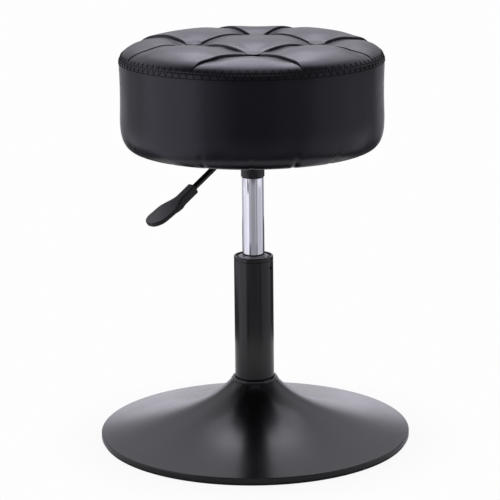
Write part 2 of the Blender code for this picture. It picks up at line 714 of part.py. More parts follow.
def rod_path():
    """The lever rod's middle line in its pivot's frame, as (reach, height) points."""
    start = Vector((-PIVOT_REACH - LEVER_TIP, 0))
    corner = Vector((LEVER_BEND_REACH - PIVOT_REACH, 0))
    slope = Vector((math.cos(LEVER_SLOPE), -math.sin(LEVER_SLOPE)))
    run = (GRIP_REACH - LEVER_BEND_REACH) / math.cos(LEVER_SLOPE)
    end = corner + slope * (run + GRIP_HOLE_DEPTH)
    trim = LEVER_BEND_RADIUS * math.tan(LEVER_SLOPE / 2)
    bend_centre = (corner.x - trim, -LEVER_BEND_RADIUS)
    top = math.radians(90)
    bend = arc(bend_centre, LEVER_BEND_RADIUS, top, top - LEVER_SLOPE, LEVER_BEND_STEPS)
    return [start] + [Vector(point) for point in bend] + [end], corner + slope * run


def upright_ring(centre, way, radius, sides):
    """A ring of points round a path that lies in the plane of reach and height."""
    across = Vector((0, 1, 0))
    normal = Vector((-way.y, 0, way.x))
    middle = Vector((centre.x, 0, centre.y))
    turns = [2 * math.pi * i / sides for i in range(sides)]
    return [middle + (across * math.cos(t) + normal * math.sin(t)) * radius for t in turns]


def level_cylinder(name, radius, half_width, parent):
    """A helper or pin shape along the pivot's axis."""
    turn = Matrix.Rotation(math.radians(90), 3, "X")
    rings = [[turn @ p for p in circle(radius, y, SMALL_SIDES)] for y in (-half_width, half_width)]
    return make_piece(name, loft(rings), None, parent, flat=True)


def make_lever():
    """Bent rod with its pivot boss, and the grip pushed on to its end."""
    path, grip_start = rod_path()
    rings = []
    for i, point in enumerate(path):
        before = path[max(i - 1, 0)]
        after = path[min(i + 1, len(path) - 1)]
        rings.append(upright_ring(point, (after - before).normalized(), LEVER_ROD_RADIUS, LEVER_SIDES))
    rod = make_piece("lever_rod", loft(rings), SATIN_BLACK, lever_pivot)
    combine(rod, level_cylinder("pivot_boss", BOSS_RADIUS, BOSS_WIDTH / 2, lever_pivot), "UNION")
    eye = level_cylinder("pivot_eye", PIVOT_PIN_RADIUS + GAP, BOSS_WIDTH, lever_pivot)
    combine(rod, eye)

    grip_rings = [grip_section(station) for station in grip_stations()]
    grip = make_piece("lever_grip", loft(grip_rings), MATTE_BLACK, lever_pivot)
    hole_turn = Matrix.Rotation(math.radians(90), 3, "Y")
    hole_radius = LEVER_ROD_RADIUS + GAP
    hole_rings = [
        [hole_turn @ p for p in circle(hole_radius, x, LEVER_SIDES)]
        for x in (-CUT_THROUGH, GRIP_HOLE_DEPTH + GAP)
    ]
    hole = make_piece("grip_hole", loft(hole_rings), None, lever_pivot, flat=True)
    combine(grip, hole)
    for piece in (grip, hole):
        piece.location = (grip_start.x, 0, grip_start.y)
        piece.rotation_euler = (0, LEVER_SLOPE, 0)


def grip_stations():
    """Distances along the grip where its section is drawn, closer together towards the round tip."""
    shares = [i / (GRIP_STATIONS - 1) for i in range(GRIP_STATIONS)]
    return [GRIP_LENGTH * math.sin(share * math.pi / 2) ** 1.2 for share in shares]


def grip_section(station):
    """One rounded section of the grip: a boxy socket that spreads into a thin lifted blade."""
    spread = smooth_share((station - GRIP_NECK_START) / (GRIP_NECK_END - GRIP_NECK_START))
    width = GRIP_SOCKET_WIDTH + (GRIP_BLADE_WIDTH - GRIP_SOCKET_WIDTH) * spread
    height = GRIP_SOCKET_HEIGHT + (GRIP_BLADE_HEIGHT - GRIP_SOCKET_HEIGHT) * spread
    tip_run = GRIP_BLADE_WIDTH / 2
    past = max(0.0, station - (GRIP_LENGTH - tip_run)) / tip_run
    width = max(width * math.sqrt(max(0.0, 1 - past**2)), GRIP_BLADE_HEIGHT)
    beyond = max(0.0, station - GRIP_NECK_START) / (GRIP_LENGTH - GRIP_NECK_START)
    top = GRIP_SOCKET_HEIGHT / 2 + GRIP_BLADE_LIFT * beyond**2
    middle = top - height / 2
    rounding = min(GRIP_EDGE_ROUND, 0.45 * height, 0.45 * width)
    points = []
    for quarter in range(4):
        turn = quarter * math.pi / 2
        y_side = 1 if quarter in (0, 3) else -1
        z_side = 1 if quarter < 2 else -1
        corner = (y_side * (width / 2 - rounding), middle + z_side * (height / 2 - rounding))
        points += arc(corner, rounding, turn, turn + math.pi / 2, GRIP_CORNER_STEPS)
    return [Vector((station, y, z)) for y, z in points]


def make_pivot():
    """Two ears under the seat plate with the pin that carries the lever, and the pin's clip."""
    inner = BOSS_WIDTH / 2 + GAP
    outer = inner + EAR_WALL
    rise = SOCKET_TOP - LEVER_ROD_HEIGHT
    outline = arc((0, 0), EAR_HALF_WIDTH, math.radians(180), math.radians(360), EAR_ROUND_STEPS)
    outline += [(EAR_HALF_WIDTH, rise), (-EAR_HALF_WIDTH, rise)]
    for name, side in (("lever_ear_left", 1), ("lever_ear_right", -1)):
        levels = (side * inner, side * outer)
        rings = [[Vector((x, y, z)) for x, z in outline] for y in levels]
        ear = make_piece(name, loft(rings), SATIN_BLACK, plate_frame)
        ear.location = pivot_place
        eye = level_cylinder(f"{name}_eye", PIVOT_PIN_RADIUS + GAP, outer + CUT_THROUGH, plate_frame)
        eye.location = pivot_place
        combine(ear, eye)

    head_inner = outer + GAP
    groove_inner = head_inner + GAP
    groove = PIVOT_PIN_RADIUS - CLIP_GROOVE
    pin = [
        (0, head_inner + PIVOT_HEAD_HEIGHT),
        (PIVOT_PIN_RADIUS + PIVOT_HEAD, head_inner + PIVOT_HEAD_HEIGHT),
        (PIVOT_PIN_RADIUS + PIVOT_HEAD, head_inner),
        (PIVOT_PIN_RADIUS, head_inner),
        (PIVOT_PIN_RADIUS, -head_inner),
        (groove, -head_inner),
        (groove, -groove_inner - CLIP_HEIGHT - GAP),
        (PIVOT_PIN_RADIUS, -groove_inner - CLIP_HEIGHT - GAP),
        (PIVOT_PIN_RADIUS, -outer - PIVOT_TAIL),
        (0, -outer - PIVOT_TAIL),
    ]
    clip = open_ring(
        groove + GAP, groove + CLIP_WIDTH, -groove_inner - CLIP_HEIGHT, -groove_inner, CLIP_OPENING
    )
    pin_piece = make_piece("pivot_pin", turned(pin, SMALL_SIDES), BRIGHT_STEEL, plate_frame)
    clip_piece = make_piece("pivot_clip", clip, BRIGHT_STEEL, plate_frame)
    for piece in (pin_piece, clip_piece):
        piece.location = pivot_place
        piece.rotation_euler = (math.radians(90), 0, 0)


# Seat cover, foam and board

def crown(radius):
    """Height of the seat's rounded shoulder at a radius."""
    share = min(radius / SEAT_RADIUS, 1.0)
    return CROWN_BASE + CROWN_HEIGHT * (1 - share**CROWN_POWER) ** (1 / CROWN_POWER)


def crest(radius):
    """Height of the seat's top at a radius before the tufts draw it down: level over the middle."""
    over = crown(radius) - CROWN_BASE - CROWN_LEVEL
    return crown(radius) - CROWN_EASE * math.log1p(math.exp(over / CROWN_EASE))


def crown_radius(height):
    """Radius of the crown at a height above its base."""
    share = (height - CROWN_BASE) / CROWN_HEIGHT
    return SEAT_RADIUS * (1 - share**CROWN_POWER) ** (1 / CROWN_POWER)


SEAM_RADIUS = crown_radius(SEAM_HEIGHT)
PIT_FLOOR = crest(TUFT_CIRCLE) - TUFT_DEPTH
TUFT_TURNS = [FRONT + 2 * math.pi * i / TUFT_COUNT for i in range(TUFT_COUNT)]
TUFTS = [Vector((math.cos(t), math.sin(t))) * TUFT_CIRCLE for t in TUFT_TURNS]


def rim_point(turn):
    """A point of the seam in plan."""
    return Vector((math.cos(turn), math.sin(turn))) * SEAM_RADIUS


def padded_height(place, fullness):
    """Height of the tufted panel: a puffed lobe that sinks to its folds and into the button pits."""
    run_out = smooth_share((SEAM_RADIUS - place.length) / FOLD_FADE)
    level = crown(place.length) + (crest(place.length) - crown(place.length)) * min(1.0, 4 * run_out)
    puffed = level + (LOBE_RISE * fullness - FOLD_DEPTH * (1 - fullness)) * run_out
    tuft = min(TUFTS, key=lambda spot: (place - spot).length)
    nearest = (place - tuft).length
    outward = (place - tuft).dot(tuft.normalized()) / max(nearest, PIT_RADIUS)
    slope = PIT_SLOPE + (PIT_FAN_SLOPE - PIT_SLOPE) * smooth_share((outward - 0.3) / 0.5)
    away = min(max((nearest - PIT_RADIUS) / slope, 0.0), 1.0)
    drawn = 1 - away**1.7
    return puffed + (PIT_FLOOR - puffed) * drawn


def bulge(share):
    """How full a lobe is across its width, from 0 at one fold to 1 midway."""
    return math.sqrt(max(0.0, 4 * share * (1 - share)))


def pit_shares(start, end):
    """Shares of the way between two tufts, the first and last free ones on the edge of their pits."""
    edge = PIT_RADIUS / (end - start).length
    inner = SEAT_STEPS - 2
    return [0] + [edge + (1 - 2 * edge) * i / inner for i in range(inner + 1)] + [1]


def pit_graded(start, end):
    """Places between two tufts."""
    return [start.lerp(end, share) for share in pit_shares(start, end)]


def seam_graded(start, end):
    """Places from a tuft to the seam, the first on the pit's edge and closer together at the seam."""
    edge = PIT_RADIUS / (end - start).length
    inner = SEAT_STEPS - 1
    eased = [math.sin(math.pi / 2 * i / inner) for i in range(inner + 1)]
    return [start] + [start.lerp(end, edge + (1 - edge) * share) for share in eased]


def panel_lobes():
    """The nine lobes of the top panel, each as a grid of (place in plan, fullness)."""
    steps = range(SEAT_STEPS + 1)
    across = pit_shares(TUFTS[0], TUFTS[1])
    ends = zip(pit_graded(TUFTS[0], TUFTS[3]), pit_graded(TUFTS[1], TUFTS[2]))
    middle = []
    for j, (left, right) in enumerate(ends):
        rise = bulge(j / SEAT_STEPS)
        places = [left.lerp(right, share) for share in across]
        middle.append([(place, rise * bulge(i / SEAT_STEPS)) for i, place in enumerate(places)])
    lobes = [middle]
    for index, turn in enumerate(TUFT_TURNS):
        spread = 2 * math.pi / TUFT_COUNT
        here = TUFTS[index]
        following = TUFTS[(index + 1) % TUFT_COUNT]
        fan = []
        corner = []
        chord = pit_graded(here, following)
        for i in steps:
            share = i / SEAT_STEPS
            fan_end = rim_point(turn + FOLD_SPREAD * (2 * share - 1))
            fan.append([(place, bulge(share)) for place in seam_graded(here, fan_end)])
            corner_end = rim_point(turn + FOLD_SPREAD + (spread - 2 * FOLD_SPREAD) * share)
            places = seam_graded(chord[i], corner_end)
            rises = [bulge(min(0.5, j / SEAT_STEPS)) for j in steps]
            corner.append([(place, bulge(share) * rise) for place, rise in zip(places, rises)])
        lobes += [fan, corner]
    return lobes


def add_patch(bm, corners):
    """Adds a four-sided face, cut across in front of a tuft so that the pit's floor stays level."""
    for k, vert in enumerate(corners):
        if min((Vector(vert.co[:2]) - tuft).length for tuft in TUFTS) < MERGE:
            corners = corners[k:] + corners[:k]
            bm.faces.new((corners[3], corners[0], corners[1]))
            bm.faces.new(corners[1:])
            return
    bm.faces.new(corners)


def panel_sheet():
    """A bmesh of the tufted top panel's outer face."""
    bm = bmesh.new()
    for grid in panel_lobes():
        rows = [
            [bm.verts.new((*place, padded_height(place, fullness))) for place, fullness in row]
            for row in grid
        ]
        for low, high in zip(rows, rows[1:]):
            for i in range(len(low) - 1):
                add_patch(bm, [low[i], low[i + 1], high[i + 1], high[i]])
    bmesh.ops.remove_doubles(bm, verts=bm.verts, dist=MERGE)
    bmesh.ops.triangulate(bm, faces=bm.faces, quad_method="SHORT_EDGE")
    bmesh.ops.recalc_face_normals(bm, faces=bm.faces)
    if sum(face.normal.z for face in bm.faces) < 0:
        bmesh.ops.reverse_faces(bm, faces=bm.faces)
    bm.normal_update()
    return bm


def inner_places(bm, depth):
    """Where each point of the panel goes when it is moved inwards: level at the seam, else square."""
    places = {}
    for vert in bm.verts:
        if vert.is_boundary:
            places[vert] = vert.co - Vector((vert.co.x, vert.co.y, 0)).normalized() * depth
        else:
            places[vert] = vert.co - vert.normal * depth * vert.calc_shell_factor()
    return places


def panel_shell():
    """A bmesh of the top panel with its thickness."""
    bm = panel_sheet()
    seam = [tuple(edge.verts) for edge in bm.edges if edge.is_boundary]
    faces = list(bm.faces)
    inner = {vert: bm.verts.new(place) for vert, place in inner_places(bm, COVER_WALL).items()}
    for face in faces:
        bm.faces.new([inner[vert] for vert in reversed(face.verts)])
    for start, end in seam:
        bm.faces.new((start, end, inner[end], inner[start]))
    return bm


def seam_turns():
    """The headings of the seam's points, which every ring of the seat shares."""
    turns = []
    spread = 2 * math.pi / TUFT_COUNT
    for turn in TUFT_TURNS:
        steps = [i / SEAT_STEPS for i in range(SEAT_STEPS)]
        turns += [turn + FOLD_SPREAD * (2 * share - 1) for share in steps]
        turns += [turn + FOLD_SPREAD + (spread - 2 * FOLD_SPREAD) * share for share in steps]
    return turns


def seat_ring(radius, height):
    """A ring of the seat's side, with its points under those of the seam."""
    return [Vector((radius * math.cos(t), radius * math.sin(t), height)) for t in seam_turns()]


def side_profile():
    """The seat's side from the seam down to the flat ring under it."""
    seam = SEAM_HEIGHT - GAP
    profile = [(crown_radius(seam), seam), (SEAT_RADIUS, CROWN_BASE)]
    waist = SEAT_CORNER_TOP + SEAT_SIDE_HEIGHT / 2
    profile += [(SEAT_RADIUS - SEAT_WAIST, waist), (SEAT_RADIUS, SEAT_CORNER_TOP)]
    power = 2 / SEAT_CORNER_POWER
    for i in range(1, SEAT_CORNER_POINTS + 1):
        turn = math.pi / 2 * i / SEAT_CORNER_POINTS
        out = math.cos(turn) ** power if i < SEAT_CORNER_POINTS else 0.0
        down = math.sin(turn) ** power
        radius = SEAT_FLAT_RADIUS + (SEAT_RADIUS - SEAT_FLAT_RADIUS) * out
        profile.append((radius, SEAT_CORNER_TOP - SEAT_CORNER_HEIGHT * down))
    return profile


def make_cover():
    """Top panel and side band of the cover, and the foam pad inside them."""
    panel = make_piece("top_panel", panel_shell(), BLACK_VINYL, lift_axis)
    high = CROWN_BASE + CROWN_HEIGHT + CUT_THROUGH
    tufts = [tuple(tuft) for tuft in TUFTS]
    combine(panel, posts("panel_tie_holes", tufts, TIE_HOLE, BOARD_BOTTOM, high, lift_axis))

    outer = side_profile() + [(WRAP_RADIUS, SEAT_BOTTOM)]
    band_profile = outer + inset_profile(outer, COVER_WALL)[::-1]
    band = loft([seat_ring(*point) for point in band_profile], looped=True)
    make_piece("side_band", band, BLACK_VINYL, lift_axis)

    bm = panel_sheet()
    for vert, place in inner_places(bm, COVER_INSET).items():
        vert.co = place
    edge = sorted(
        {vert for vert in bm.verts if vert.is_boundary},
        key=lambda vert: math.atan2(vert.co.y, vert.co.x) % (2 * math.pi),
    )
    foam_side = inset_profile(side_profile(), COVER_INSET)[1:]
    recess = BOARD_RADIUS + GAP
    foam_side += [(recess, BOARD_BOTTOM), (recess, BOARD_TOP + GAP)]
    for radius, height in foam_side:
        lower = []
        for vert in edge:
            turn = math.atan2(vert.co.y, vert.co.x)
            lower.append(bm.verts.new((radius * math.cos(turn), radius * math.sin(turn), height)))
        for i in range(len(edge)):
            j = (i + 1) % len(edge)
            bm.faces.new((edge[i], edge[j], lower[j], lower[i]))
        edge = lower
    bm.faces.new(edge)
    foam = make_piece("foam_pad", bm, PALE_FOAM, lift_axis)
    combine(foam, posts("foam_tie_holes", tufts, TIE_HOLE, BOARD_BOTTOM, high, lift_axis))


def make_tufts():
    """Covered buttons in the pits, each with the tie that draws it down to the board."""
    button_bottom = PIT_FLOOR + GAP
    button_top = button_bottom + TUFT_BUTTON_HEIGHT
    edge_height = button_bottom + TUFT_BUTTON_EDGE
    dome = [
        (TUFT_BUTTON_RADIUS * math.sin(math.radians(t)),
         edge_height + (button_top - edge_height) * math.cos(math.radians(t)))
        for t in (0, 30, 60, 90)
    ]
    dome[0] = (0, button_top)
    button = dome + [(TUFT_BUTTON_RADIUS, button_bottom), (0, button_bottom)]
    knot_top = BOARD_BOTTOM + TIE_KNOT_HEIGHT
    tie = [
        (0, button_bottom - GAP),
        (TIE_RADIUS, button_bottom - GAP),
        (TIE_RADIUS, knot_top),
        (TIE_KNOT_RADIUS, knot_top),
        (TIE_KNOT_RADIUS, BOARD_BOTTOM),
        (0, BOARD_BOTTOM),
    ]
    for index, tuft in enumerate(TUFTS):
        head = make_piece(f"tuft_button_{index + 1}", turned(button, SMALL_SIDES), BLACK_VINYL, lift_axis)
        cord = make_piece(f"button_tie_{index + 1}", turned(tie, SMALL_SIDES), TWINE, lift_axis)
        for piece in (head, cord):
            piece.location = (*tuft, 0)


def make_board():
    """Plywood board with its holes, and the dust cover under it."""
    board = sleeve(0, BOARD_RADIUS, BOARD_BOTTOM, BOARD_TOP)
    board = [board[3], *board[:3]]
    board_piece = make_piece("seat_board", turned(board, BASE_SIDES), PLYWOOD, lift_axis)
    low = BOARD_BOTTOM - CUT_THROUGH
    high = BOARD_TOP + CUT_THROUGH
    sink = BOARD_TOP - TEE_FLANGE_HEIGHT - GAP
    knot_sink = BOARD_BOTTOM + TIE_KNOT_HEIGHT + GAP
    tufts = [tuple(tuft) for tuft in TUFTS]
    drills = (
        ("tee_nut_bores", bolt_places(), TEE_NUT_RADIUS + GAP, low, high, plate_frame),
        ("tee_flange_sinks", bolt_places(), TEE_FLANGE_RADIUS + GAP, sink, high, plate_frame),
        ("board_tie_holes", tufts, TIE_HOLE, low, high, lift_axis),
        ("tie_knot_sinks", tufts, TIE_KNOT_RADIUS + GAP, low, knot_sink, lift_axis),
    )
    for drill in drills:
        combine(board_piece, posts(*drill))

    bottom = DUST_COVER_TOP - DUST_COVER_WALL
    cloth = sleeve(0, WRAP_RADIUS - GAP, bottom, DUST_COVER_TOP)
    cloth = [cloth[3], *cloth[:3]]
    cloth_piece = make_piece("dust_cover", turned(cloth, BASE_SIDES), DARK_FELT, lift_axis)
    holes = posts("dust_cover_holes", bolt_places(), BOLT_HOLE, bottom - CUT_THROUGH, high, plate_frame)
    combine(cloth_piece, holes)


make_base()
make_column()
make_swivel()
make_cylinder()
make_seat_plate()
make_lever()
make_pivot()
make_cover()
make_tufts()
make_board()
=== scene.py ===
"""Looks of the swivel vanity stool: a tufted vinyl seat on a chrome gas lift over a trumpet base.

All lengths are in metres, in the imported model's own frame: Z is up, -Y is the stool's front and
the floor is at z = 0. The sizes of the solids repeat those of the part's source.
"""

import math
from functools import partial

import bmesh
import bpy
import numpy as np
from mathutils import Matrix, Vector
from mathutils.bvhtree import BVHTree


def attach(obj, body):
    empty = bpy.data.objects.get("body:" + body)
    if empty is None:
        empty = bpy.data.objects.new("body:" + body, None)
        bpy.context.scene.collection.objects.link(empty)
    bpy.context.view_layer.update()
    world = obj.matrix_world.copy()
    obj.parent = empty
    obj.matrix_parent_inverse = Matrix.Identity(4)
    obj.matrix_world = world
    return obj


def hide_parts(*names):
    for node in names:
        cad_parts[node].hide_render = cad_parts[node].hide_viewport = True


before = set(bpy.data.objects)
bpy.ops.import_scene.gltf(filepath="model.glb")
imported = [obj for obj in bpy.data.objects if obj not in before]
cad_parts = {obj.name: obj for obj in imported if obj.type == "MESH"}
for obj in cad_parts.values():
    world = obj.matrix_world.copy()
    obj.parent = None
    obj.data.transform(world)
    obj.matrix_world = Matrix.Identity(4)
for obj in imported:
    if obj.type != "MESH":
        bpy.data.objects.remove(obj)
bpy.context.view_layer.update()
scene = bpy.context.scene
scene.view_settings.view_transform = "Standard"
for packed in list(bpy.data.materials):
    packed.name = "packed_" + packed.name

# Camera, fitted to the photograph
CAMERA_PLACE = (0, -2.6, 0.8715)
CAMERA_FOCAL = 4.215
CAMERA_PITCH = 0.2364
CAMERA_YAW = 0.0017
CAMERA_ROLL = -0.0103
SENSOR_WIDTH = 36.0

# Studio colours, and ranges of a direction or distance with the shares they are eased between
WHITE = (0.985, 0.985, 0.985, 1)
WALL_DARK = (0.145, 0.145, 0.155, 1)
WALL_PALE = (0.93, 0.91, 1.0, 1)
BELOW_FLOOR = (0.10, 0.10, 0.11, 1)
FLOOR_PAPER = (0.82, 0.82, 0.83, 1)
PANEL_COLOUR = (0.91, 0.89, 1.0)
ROOM_STRENGTH = 0.9
REAR_BACK = (0.55, 1.0)
REAR_HEIGHT = (0.02, 0.20, 0.38, 1.0)
REAR_ASIDE = (0.08, 0.28, 1.0, 0.45)
CEILING_HEIGHT = (0.20, 0.55, 0.0, 0.95)
CEILING_BACK = (0.05, 0.55)
HORIZON = (-0.30, -0.08)
FLOOR_RADIUS = 0.45
FLOOR_SEEN = (0.18, 0.30, 0.94, 1.0)
FLOOR_MIRRORED = (0.20, 0.45, 0.10, 0.9)
TOP_PANEL_REACH = 0.95
TOP_PANEL_AIM = (-0.10, 0.51)

# Mottled finishes, whose colour patches are this much larger than those of their gloss
COLOUR_PATCHES = 1.7

# Facets and small clearances
GAP = 0.0003
THIN_GAP = 0.0001
MERGE = 1e-6
TINY = 1e-9
CUT_SPARE = 0.002
BASE_SIDES = 160
ROUND_SIDES = 96
SMALL_SIDES = 32
CORNER_SHARE = 0.45
FLAT_ANGLE = math.radians(1)
BROKEN_ANGLE = math.radians(40)
SHARP_ANGLE = math.radians(50)
STRAIGHT_ANGLE = math.radians(155)
FRONT = math.radians(-90)

# Trumpet base
BASE_RADIUS = 0.1984
RIM_HEIGHT = 0.0100
RIM_ROUND = 0.0014
RIM_CREASE = 0.0006
RIM_CREASE_INSET = 0.0024
RIM_CREASE_WIDTH = 0.0012
BELL_RISE = 0.0346
BELL_RINGS = 72
BELL_SHARE = 0.84
ROLL_SHARE = 0.95
NECK_RADIUS = 0.0300
NECK_HEIGHT = RIM_HEIGHT + BELL_RISE * math.log((BASE_RADIUS - RIM_ROUND) / NECK_RADIUS)
SHELL_WALL = 0.0015
LIP_BOTTOM = 0.0035
FLOOR_RING_RADIUS = 0.1966
FLOOR_RING_WIDTH = 0.0140
FLOOR_RING_HEIGHT = 0.0032
FLOOR_RING_ROUND = 0.0008
BASE_PLATE_TOP = 0.0065
BASE_PLATE_EYE = 0.0190
BASE_PLATE_ROUND = 0.0005
TRIM_BORE = 0.0253
TRIM_FLANGE_RADIUS = 0.0303
TRIM_FLANGE_HEIGHT = 0.0010
TRIM_BEAD_RADIUS = 0.0287
TRIM_HEIGHT = 0.0040
TRIM_ROUND = 0.0014

# Column and its guide
COLUMN_RADIUS = 0.0250
COLUMN_BORE = 0.0225
COLUMN_BOTTOM = 0.0068
COLUMN_TOP = 0.2388
COLUMN_CAP = 0.0052
COLUMN_GROOVE = 0.0004
COLUMN_ROUND = 0.0012
COLUMN_FLOOR = 0.0133
COLUMN_FLOOR_TOP = 0.0173
ROD_SLEEVE = 0.0053
PUNCH_RADIUS = 0.0025
PUNCH_HEIGHT = 0.2243
PUNCH_HEADING = math.radians(-30)
BUSH_TOP = 0.2382
BUSH_LIP_RADIUS = 0.0192
BUSH_LIP_DEPTH = 0.0040
BUSH_LENGTH = 0.0680
BUSH_ROUND = 0.0006
GUIDE_RING_WIDTH = 0.0013
GUIDE_RING_HEIGHT = 0.0020
GUIDE_RING_ROUND = 0.0004

# Gas lift and socket
CYLINDER_RADIUS = 0.0140
CYLINDER_BORE = 0.0125
CYLINDER_BOTTOM = 0.1550
CYLINDER_TOP = 0.3575
CYLINDER_SHOULDER = 0.3407
CYLINDER_ROUND = 0.0004
BORE_STEP = 0.0015
NECK_STEP = 0.0008
TAPER = 0.0006
SOCKET_RADIUS = 0.0150
SOCKET_BOTTOM = 0.3410
SOCKET_TOP = 0.3753
SOCKET_ROUND = 0.0010
SLOT_START = 0.003
SLOT_HALF = 0.00475
SLOT_BOTTOM = 0.3579

# Lever
LEVER_HEADING = math.radians(220)
LEVER_SLOPE = math.radians(32.3)
LEVER_ROD_RADIUS = 0.00375
LEVER_ROD_HEIGHT = 0.3665
LEVER_TIP = 0.0015
LEVER_TIP_ROUND = 0.0006
LEVER_BEND_REACH = 0.0517
LEVER_BEND_RADIUS = 0.0120
LEVER_BEND_STEPS = 16
PIVOT_REACH = 0.0260
BOSS_RADIUS = 0.0065
BOSS_WIDTH = 0.0100
BOSS_EYE = 0.0028
BOSS_ROUND = 0.0006
GRIP_REACH = 0.0952
GRIP_LENGTH = 0.0780
GRIP_HOLE_DEPTH = 0.0200
GRIP_SOCKET_WIDTH = 0.0120
GRIP_SOCKET_HEIGHT = 0.0125
GRIP_BLADE_WIDTH = 0.0325
GRIP_BLADE_HEIGHT = 0.0060
GRIP_BLADE_LIFT = 0.0035
GRIP_NECK_START = 0.0220
GRIP_NECK_END = 0.0480
GRIP_DEEP_END = 0.0300
GRIP_THIN_START = 0.0460
GRIP_EDGE_ROUND = 0.0022
GRIP_EDGE_STEPS = 8
GRIP_TIP_WIDTH = 0.0030
GRIP_TIP_ROUND = 0.002
GRIP_TIP_SHARE = 0.45
GRIP_MOUTH_RUN = 0.0008
GRIP_MOUTH_CUT = 0.0010
GRIP_SECTIONS = 80
GRIP_CROWDING = 1.2

# Seat cushion
SEAT_RADIUS = 0.1652
SEAT_BOTTOM = 0.3778
SEAT_FLAT_RADIUS = 0.1393
SEAT_CORNER_TOP = 0.4182
SEAT_CORNER_POWER = 2.8
SEAT_WAIST = 0.0008
SIDE_ROWS = 14
CORNER_ROWS = 22
WRAP_ROWS = 8
CROWN_BASE = 0.4868
CROWN_HEIGHT = 0.0351
CROWN_POWER = 2.54
CROWN_LEVEL = 0.5158
CROWN_EASE = 0.0012
SLOPE_STEP = 1e-5
STEEPEST = -4
SEAM_HEIGHT = 0.4940
SEAM_GROOVE = 0.0005
SEAM_GROOVE_WIDTH = 0.0007
SEAM_ROLL = 0.0001
SEAM_ROLL_PLACE = 0.0018
SEAM_ROLL_WIDTH = 0.0011
SEAM_REACH = 0.012
SEAM_INNER = 0.150
SEAM_DROPS = (0.0004, 0.0009, 0.0016, 0.0026, 0.0042)
WRAP_RADIUS = 0.1180
WRAP_WAVE = 0.00035
WRAP_WAVE_RUN = 0.012
BOARD_RADIUS = 0.1360
BOARD_TOP = 0.3915
RECESS_RINGS = (0.0900, 0.0400)

# Tufts
TUFT_CIRCLE = 0.0770
TUFT_TWIST = math.radians(-2)
TUFT_SHIFT = (0.0045, 0.0)
TUFT_DEPTH = 0.0110
BUTTON_RADIUS = 0.0104
BUTTON_BOTTOM = 0.5040
BUTTON_EDGE = 0.0032
BUTTON_HEIGHT = 0.0054
BUTTON_LIFTS = (-0.0005, 0.0010, 0.0, 0.0010)
BUTTON_ROWS = 12
BUTTON_WAIST = ((0.0002, 0.0012), (0.0014, 0.0))
PIT_RADIUS = 0.0095
PIT_RUN = 0.0420
PIT_POWER = 1.8
FRONT_PIT_RUN = 0.0550
FRONT_PIT_POWER = 1.6
PUCKER = 0.00035
PUCKER_COUNT = 90
PUCKER_LEAN = 300
PUCKER_REACH = 0.022

# Lobes and folds, with a fan behind each tuft in the order front, right, back, left
FOLD_SPREAD = math.radians(24)
FAN_RUNS = np.array([0.0500, 0.0420, 0.0420, 0.0420])
FAN_POWERS = np.array([1.1, 1.8, 1.8, 1.8])
FAN_DEPTHS = np.array([0.0008, 0.0015, 0.0015, 0.0010])
FAN_EDGE_DEPTHS = np.array([0.0062, 0.0062, 0.0004, 0.0032])
FAN_RIM_FADE = 0.035
SPOKE_WALLS = np.array([0.0032, 0.0030, -0.0012, 0.0030, -0.0028, -0.0028, 0.0030, -0.0012])
SPOKE_FADE = 0.0350
WALL_START = 0.006
WALL_RUN = 0.012
WALL_SPARE = 0.0006
BACK_RISE = 0.0016
BACK_START = -0.03
BACK_RUN = 0.10
FRONT_RUN = 0.04
RIM_RUN = 0.030
RIM_FOLD_SHARE = 0.35
SEAM_FLAT = 0.0060
PUFF_DEPTH = 0.0036
PUFF_REACH = 0.0480
PUFF_OUTER = 0.137
PUFF_RUN = 0.052
CORNER_LIFTS = (-0.0013, 0.0018, 0.0018, -0.0013)
CHORD_LIP = 0.0010
CHORD_LIP_PLACE = 0.0065
CHORD_LIP_WIDTH = 0.0055
VALLEY_DEPTH = 0.0060
VALLEY_WIDTH = 0.0028
VALLEY_RIM_SHARE = 0.45
VALLEY_POWER = 5.0
VALLEY_START = 0.007
VALLEY_RUN = 0.010
ON_FOLD = 1e-6
CREASE_NEAR = 0.0004
CREASE_START = 0.0060
CREASE_WEIGHT = 0.8
LOBE_STEPS = 32
LOBE_CROWDING = 0.6

# Padding, which is held at each of these distances and let go over the run that follows it
PADDING_PRESSURE = 4.0
PADDING_FRAMES = 20
PADDING_CAP = 0.0012
FOLD_HOLD = (0.0012, 0.0060)
TUFT_HOLD = (0.0100, 0.0120)
SEAM_HOLD = (0.0040, 0.0160)

# Pleats of the lower edge
PLEAT_COUNT = 18
PLEAT_START = math.radians(-151)
PLEAT_DEPTH = 0.0015
PLEAT_HALF_WIDTH = 0.0030
PLEAT_TOP = 0.4040
PLEAT_RUN = 0.022
PLEAT_LIFT = 0.5
PLEAT_WANDER = 0.9
PLEAT_MEAN = 0.8
PLEAT_UNEVEN = 0.3
BULGE_SHARE = 0.35
BULGE_PLACE = 2.4
BULGE_WIDTH = 1.2

# Stitches, dust cover and staples
STITCH_COUNT = 104
STITCH_STEPS = 4
STITCH_LOOK_FROM = 0.3
STITCH_LOW = 0.4878
STITCH_HIGH = 0.5000
STITCH_LIFT = 0.00012
STITCH_RISE = 8.0
STITCH_SINK = 3.0
THREAD_RADIUS = 0.00045
THREAD_SIDES = 6
DUST_COVER_BOTTOM = 0.3784
DUST_COVER_TOP = 0.3792
DUST_COVER_EYE = 0.004
DUST_COVER_FLAT = 0.1120
DUST_COVER_ROWS = 28
DUST_COVER_EDGE = (0.1145, 0.1165, 0.1174)
DUST_COVER_SIDES = 144
SLACK_DROP = 0.0006
SLACK_START = 0.055
SLACK_RUN = 0.02
SLACK_EDGE_RUN = 0.010
WRAP_STAPLES = 40
WRAP_STAPLE_RADIUS = 0.1262
WRAP_STAPLE_SKEW = 0.25
CLOTH_STAPLES = 28
CLOTH_STAPLE_RADIUS = 0.1130
CLOTH_STAPLE_SKEW = 0.08
STAPLE_WANDER = 0.12
